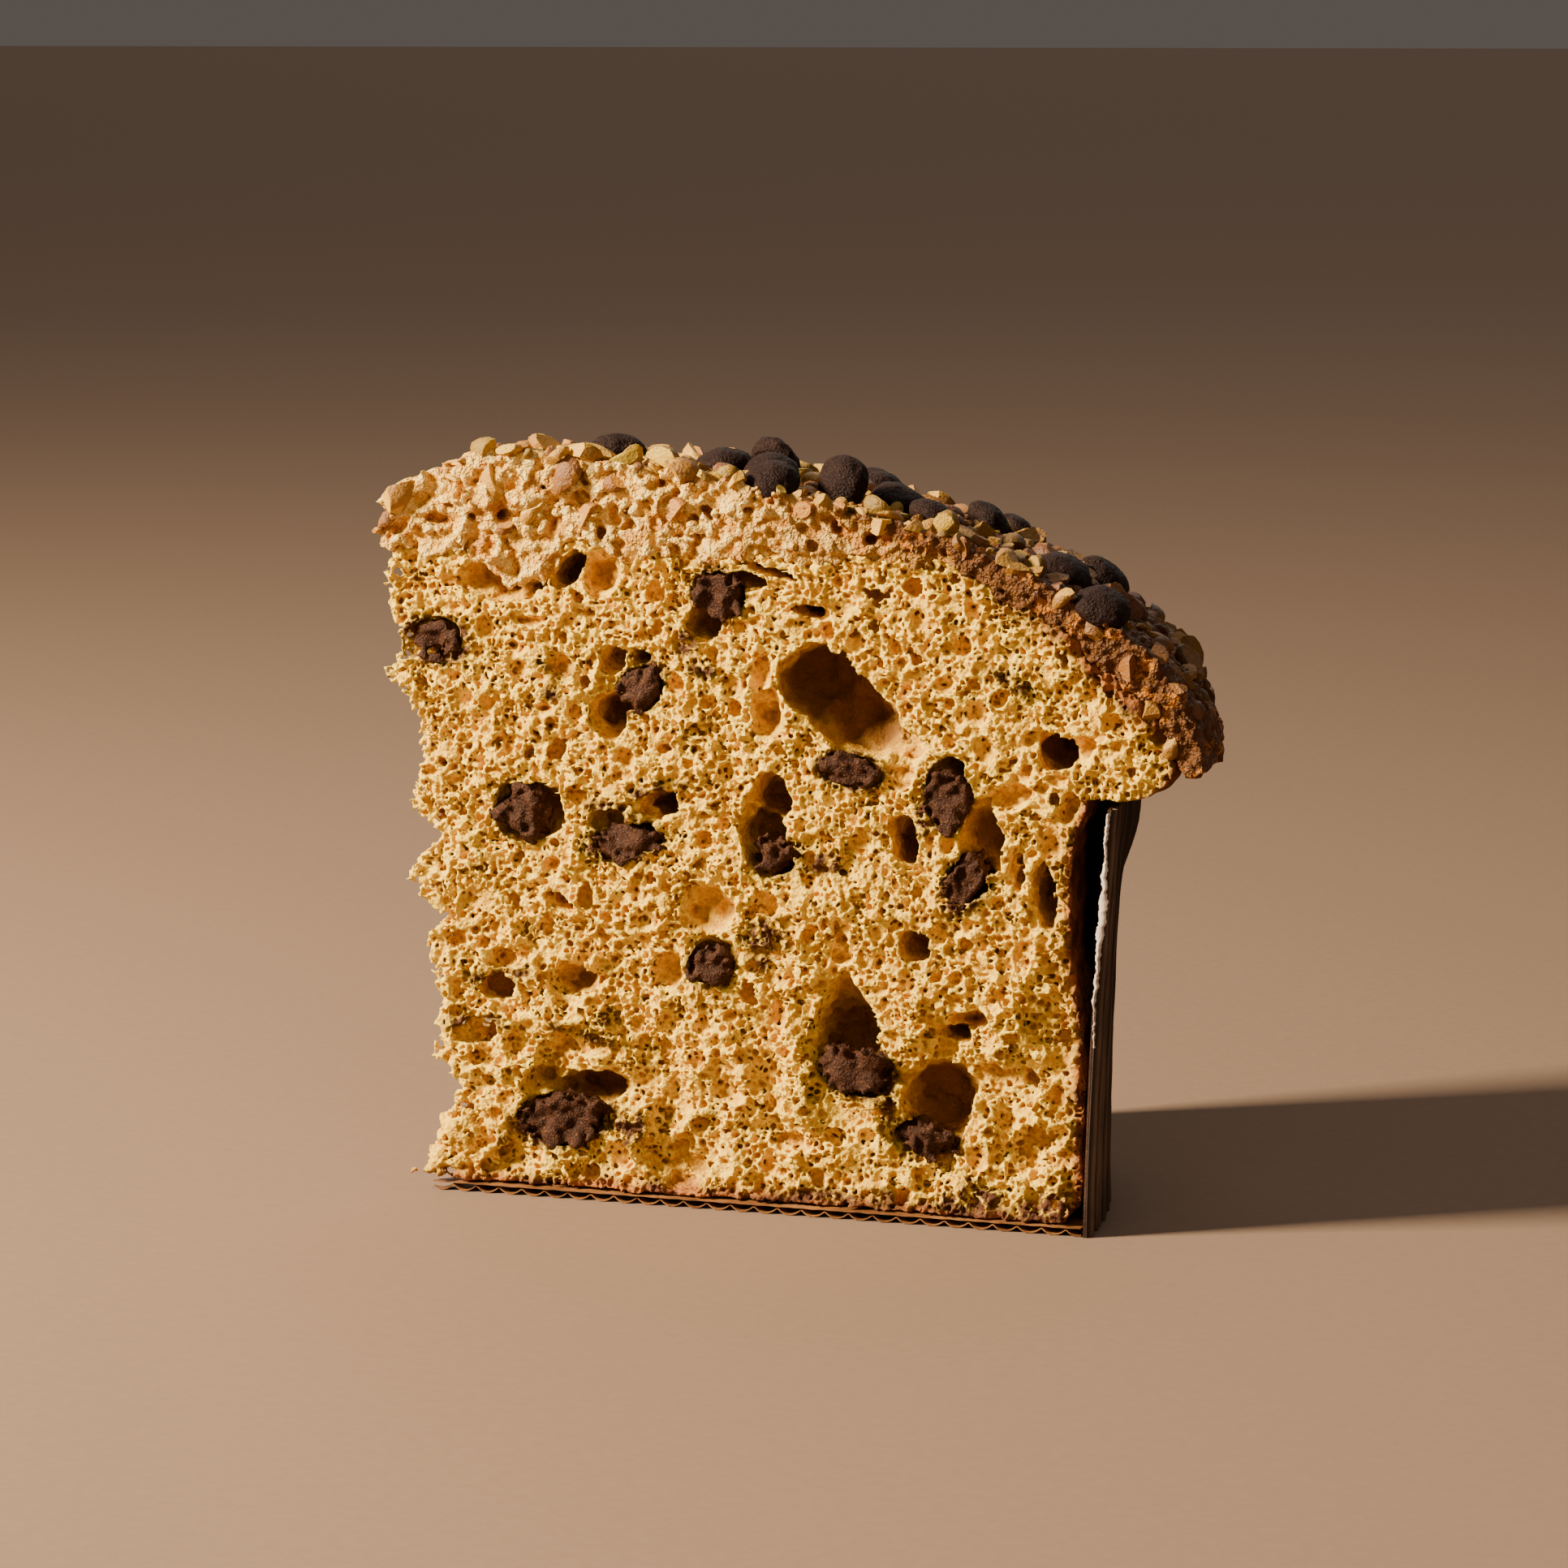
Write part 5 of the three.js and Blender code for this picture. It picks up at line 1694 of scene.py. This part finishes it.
@dataclass
class PaperWall:
    """The mould's upright wall: a smooth liner, fine flutes outside it, and a torn white ply."""

    cake: Cake
    height: float = 64.6
    flare: float = 3.1
    curl: float = 2.9
    flutes: int = 40
    flute_depth: float = 1.1
    gap: float = 0.02
    torn_from: float = 29.0
    pieces: list[Piece] = field(default_factory=list)

    def spread(self, angle: Array, z: Array) -> Array:
        """How far the wall stands out of the upright."""
        curled = smoothstep(angle, math.radians(6), math.radians(14))
        return self.flare * (z / self.height) ** 1.6 + self.curl * curled * smoothstep(z, 48, 61)

    def at(self, radius: Array | float, turn: Array, z: Array) -> Array:
        """Points at a radius of the upright wall, a share of the wedge and a height."""
        angle = math.radians(self.cake.wedge_deg) * turn
        r = radius + self.spread(angle, z)
        lean = -self.cake.apex_lean * z * turn / self.cake.lean_height
        return np.stack([r * np.cos(angle) + lean, r * np.sin(angle), z], 1)

    def level(self, share: Array) -> Array:
        """Height of a share of the wall, which stands just clear of the table."""
        return self.gap + share * (self.height - self.gap)

    def wave(self, turn: Array) -> Array:
        """0 in the valleys of the flutes and 1 on their crests, by share of the wedge."""
        return 0.5 - 0.5 * np.cos(2 * math.pi * self.flutes * turn)

    def liner(self) -> Piece:
        """The smooth inner ply."""

        def surface(u: Array, v: Array) -> Array:
            """The middle of the ply, faintly wavy."""
            radius = self.cake.mould_radius + 0.15 + 0.05 * np.sin(9 * v + 14 * u)
            return self.at(radius, u, self.level(v))

        return paper_sheet("paper_liner", 120, 48, 0.3, surface, self.cake)

    def fluted(self) -> Piece:
        """The outer ply, folded into upright flutes."""
        inner = self.cake.mould_radius + self.cake.paper + 0.06

        def surface(u: Array, v: Array) -> Array:
            """The middle of the ply, with flutes of uneven depth."""
            uneven = 0.75 + 0.25 * np.sin(2.3 * self.flutes * u + 1.0) + 0.06 * np.sin(30 * v + 50 * u)
            radius = inner + (self.flute_depth - 0.22) * self.wave(u) * uneven
            return self.at(radius, u, self.level(v))

        piece = paper_sheet("paper_flutes", self.flutes * 8, 36, 0.2, surface, self.cake)
        x, y, z = self.cake.to_cut(Cut.NEAR, vertices_of(piece)).T
        upright_x = x + self.cake.apex_lean * z / self.cake.lean_height
        turn = np.arctan2(y, upright_x) / math.radians(self.cake.wedge_deg)
        # fold runs from valley to crest; the finish paints shade into the valleys.
        add_values(piece, "fold", self.wave(turn))
        return piece

    def torn_ply(self) -> Piece:
        """The white inside of the paper, torn open along the upper part of the wall's near edge."""
        draw = seeded(31)
        heights = np.linspace(0, 1, 121)
        jag = np.interp(heights, np.linspace(0, 1, 41), draw.uniform(-1, 1, 41))
        jag += 0.5 * draw.uniform(-1, 1, 121)
        levels = (0, 0.15, 0.3, 0.45, 0.6, 0.75, 0.88, 1.0)
        broad = np.interp(heights, levels, (0.08, 0.2, 0.5, 0.95, 1.1, 0.5, 0.3, 0.4))
        sway = np.interp(heights, (0, 0.2, 0.45, 0.6, 0.8, 1.0), (0.35, 0.0, 0.2, 0.3, 0.05, -0.15))

        def surface(u: Array, v: Array) -> Array:
            """The middle of the strip, as wide as the tear."""
            z = self.torn_from + v * (self.height - (self.torn_from + 0.5))
            width = np.interp(v, heights, np.maximum(0.06, broad + 0.3 * jag))
            middle = self.cake.mould_radius + 0.25 + np.interp(v, heights, sway)
            fray = 0.16 * np.interp(v, heights, np.roll(jag, 7))
            x = middle + (u - 0.5) * width + self.spread(0 * z, z) + fray
            y = -0.18 - 0.25 * np.sin(math.pi * u) + 0.1 * np.interp(v, heights, jag)
            return np.stack([x, y, z], 1)

        return paper_sheet("paper_torn_ply", 4, 120, 0.12, surface, self.cake)

    def build(self) -> None:
        """Make the plies and dress them."""
        dark = PaperFinish("paper_inside", (0.085, 0.036, 0.018), (0.035, 0.014, 0.008), 0.6)
        brown = PaperFinish("paper_outside", (0.17, 0.105, 0.065), (0.095, 0.055, 0.034), folded=True)
        white = PaperFinish("paper_torn", (0.80, 0.70, 0.60), (0.52, 0.40, 0.31), 0.9)
        for piece, finish in ((self.liner(), dark), (self.fluted(), brown), (self.torn_ply(), white)):
            stand_in(piece, finish.material(), "paper", "paper_wall")
            self.pieces.append(piece)


@dataclass
class PaperBase:
    """The mould's base: a flat liner over thin half-round flutes that stand on the table."""

    cake: Cake
    pitch: float = 3.75
    reach: float = 103.6
    liner_z: float = 1.34
    flute_top: float = 1.12
    flute_height: float = 0.98
    pieces: list[Piece] = field(default_factory=list)

    def depth_at(self, x: Array) -> Array:
        """How far back the base goes at a place along the near cut."""
        return np.minimum(x, np.sqrt(np.maximum(0.0, self.reach**2 - x * x)))

    def build(self) -> None:
        """Make the liner and the flutes and dress them."""
        start, end = 0.5, self.reach - 0.04

        def along(u: Array) -> Array:
            """Place along the near cut."""
            return start + (end - start) * u

        def flat(u: Array, v: Array) -> Array:
            """The middle of the liner."""
            x = along(u)
            y = v * self.depth_at(x) + 0.1 * np.sin(2.2 * x) * (1 - v)
            z = self.liner_z + 0.02 * np.sin(1.3 * x + 0.2 * y)
            return np.stack([x, y, z], 1)

        def waved(u: Array, v: Array) -> Array:
            """The middle of the fluted paper."""
            x = along(u)
            y = 0.15 + v * (self.depth_at(x) - 0.3) + 0.12 * np.sin(1.7 * x + 1.0) * (1 - v)
            z = self.flute_top - self.flute_height * np.abs(np.sin(math.pi * x / self.pitch)) ** 0.75
            return np.stack([x, y, z], 1)

        kraft = PaperFinish("paper_kraft", (0.30, 0.12, 0.03), (0.13, 0.045, 0.011)).material()
        liner = paper_sheet("base_liner", 160, 24, 0.14, flat, self.cake)
        flutes = paper_sheet("base_flutes", 330, 20, 0.17, waved, self.cake)
        for piece in (liner, flutes):
            stand_in(piece, kraft, "paper", "paper_base")
            self.pieces.append(piece)


@dataclass
class Studio:
    """The camera at the photograph's angle, a pale floor and soft light from the front left."""

    cake: Cake
    eye: tuple[float, float, float] = (269.722, -686.632, 179.009)
    look: tuple[float, float, float] = (-0.29185818, 0.94380459, -0.1550861)
    lens: float = 111.8
    aim: tuple[float, float, float] = (50.0, 20.0, 55.0)
    lamp_distance: float = 1.1
    back_strength: float = 0.9
    back_spread_deg: float = 60.0
    back_way: tuple[float, float, float] = (0.12, -0.74, -0.66)
    sky: Colour = (0.80, 0.68, 0.60)
    sky_strength: float = 0.13

    def camera(self) -> None:
        """Set the camera."""
        data = bpy.data.cameras.new("camera")
        data.lens = self.lens
        data.sensor_width = 36.0
        seat = bpy.data.objects.new("camera", data)
        seat.location = Vector(self.cake.placed(np.array(self.eye)))
        seat.rotation_euler = Vector(self.look).to_track_quat("-Z", "Y").to_euler()
        bpy.context.scene.collection.objects.link(seat)
        bpy.context.scene.camera = seat

    def floor(self) -> None:
        """Lay the floor."""
        bpy.ops.object.select_all(action="DESELECT")
        bpy.ops.mesh.primitive_plane_add(size=60.0)
        floor = bpy.context.object
        floor.name = "floor"
        graph = Graph("floor")
        graph.set(graph.shader.inputs["Specular IOR Level"], 0.1)
        tone = graph.mix(graph.noise(2.0, 2.0), (0.20, 0.128, 0.088), (0.235, 0.153, 0.106))
        floor.data.materials.append(graph.finish(tone, 0.9))

    def lamp(self, name: str, bearing: float, height: float, size: float, power: float, tint: Colour) -> None:
        """Aim a square lamp at the slice.

        Args:
            name: Name of the lamp.
            bearing: Direction that its light travels, in degrees from the near cut.
            height: Its elevation in degrees.
            size: Side of the lamp in metres.
            power: Power in watts.
            tint: Colour of the light.
        """
        aim = Vector(self.cake.placed(np.array(self.aim)))
        flat = math.cos(math.radians(height))
        angle = math.radians(bearing)
        travel = Vector((math.cos(angle) * flat, math.sin(angle) * flat, -math.sin(math.radians(height))))
        data = bpy.data.lights.new(name, "AREA")
        data.size = size
        data.energy = power
        data.color = tint
        seat = bpy.data.objects.new(name, data)
        seat.location = aim - travel * self.lamp_distance
        seat.rotation_euler = travel.to_track_quat("-Z", "Y").to_euler()
        bpy.context.scene.collection.objects.link(seat)

    def soft_sun(self) -> None:
        """A wide, weak light from behind, which the near cut doesn't see."""
        data = bpy.data.lights.new("back", "SUN")
        data.energy = self.back_strength
        data.angle = math.radians(self.back_spread_deg)
        data.color = (1.0, 0.9, 0.78)
        seat = bpy.data.objects.new("back", data)
        seat.rotation_euler = Vector(self.back_way).to_track_quat("-Z", "Y").to_euler()
        bpy.context.scene.collection.objects.link(seat)

    def light(self) -> None:
        """Set the lamps and the pale surroundings."""
        self.lamp("key", 31.0, 31.0, 0.2, 57.0, (1.0, 0.865, 0.63))
        self.lamp("fill", 100.0, 35.0, 1.0, 2.2, (1.0, 0.9, 0.8))
        self.soft_sun()
        world = bpy.data.worlds.new("studio")
        world.use_nodes = True
        backdrop = world.node_tree.nodes["Background"]
        backdrop.inputs["Color"].default_value = (*self.sky, 1.0)
        backdrop.inputs["Strength"].default_value = self.sky_strength
        bpy.context.scene.world = world

    def build(self) -> None:
        """Set up everything round the slice."""
        self.camera()
        self.floor()
        self.light()


def main() -> None:
    """Build every piece of the slice and the studio round it."""
    logging.basicConfig(level=logging.INFO, format="%(message)s")
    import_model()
    cake = cake_in_frame()
    Studio(cake).build()
    cake_parts = (Crumb(cake), ChocolateChunks(cake), Glaze(cake))
    toppings = (ChoppedNuts(cake, DROPS), ChocolateDrops(cake))
    for part in (*cake_parts, *toppings, PaperWall(cake), PaperBase(cake)):
        part.build()
        for piece in part.pieces:
            LOG.info("%s: %d triangles", piece.name, triangles_of(piece))


if __name__ == "__main__":
    main()
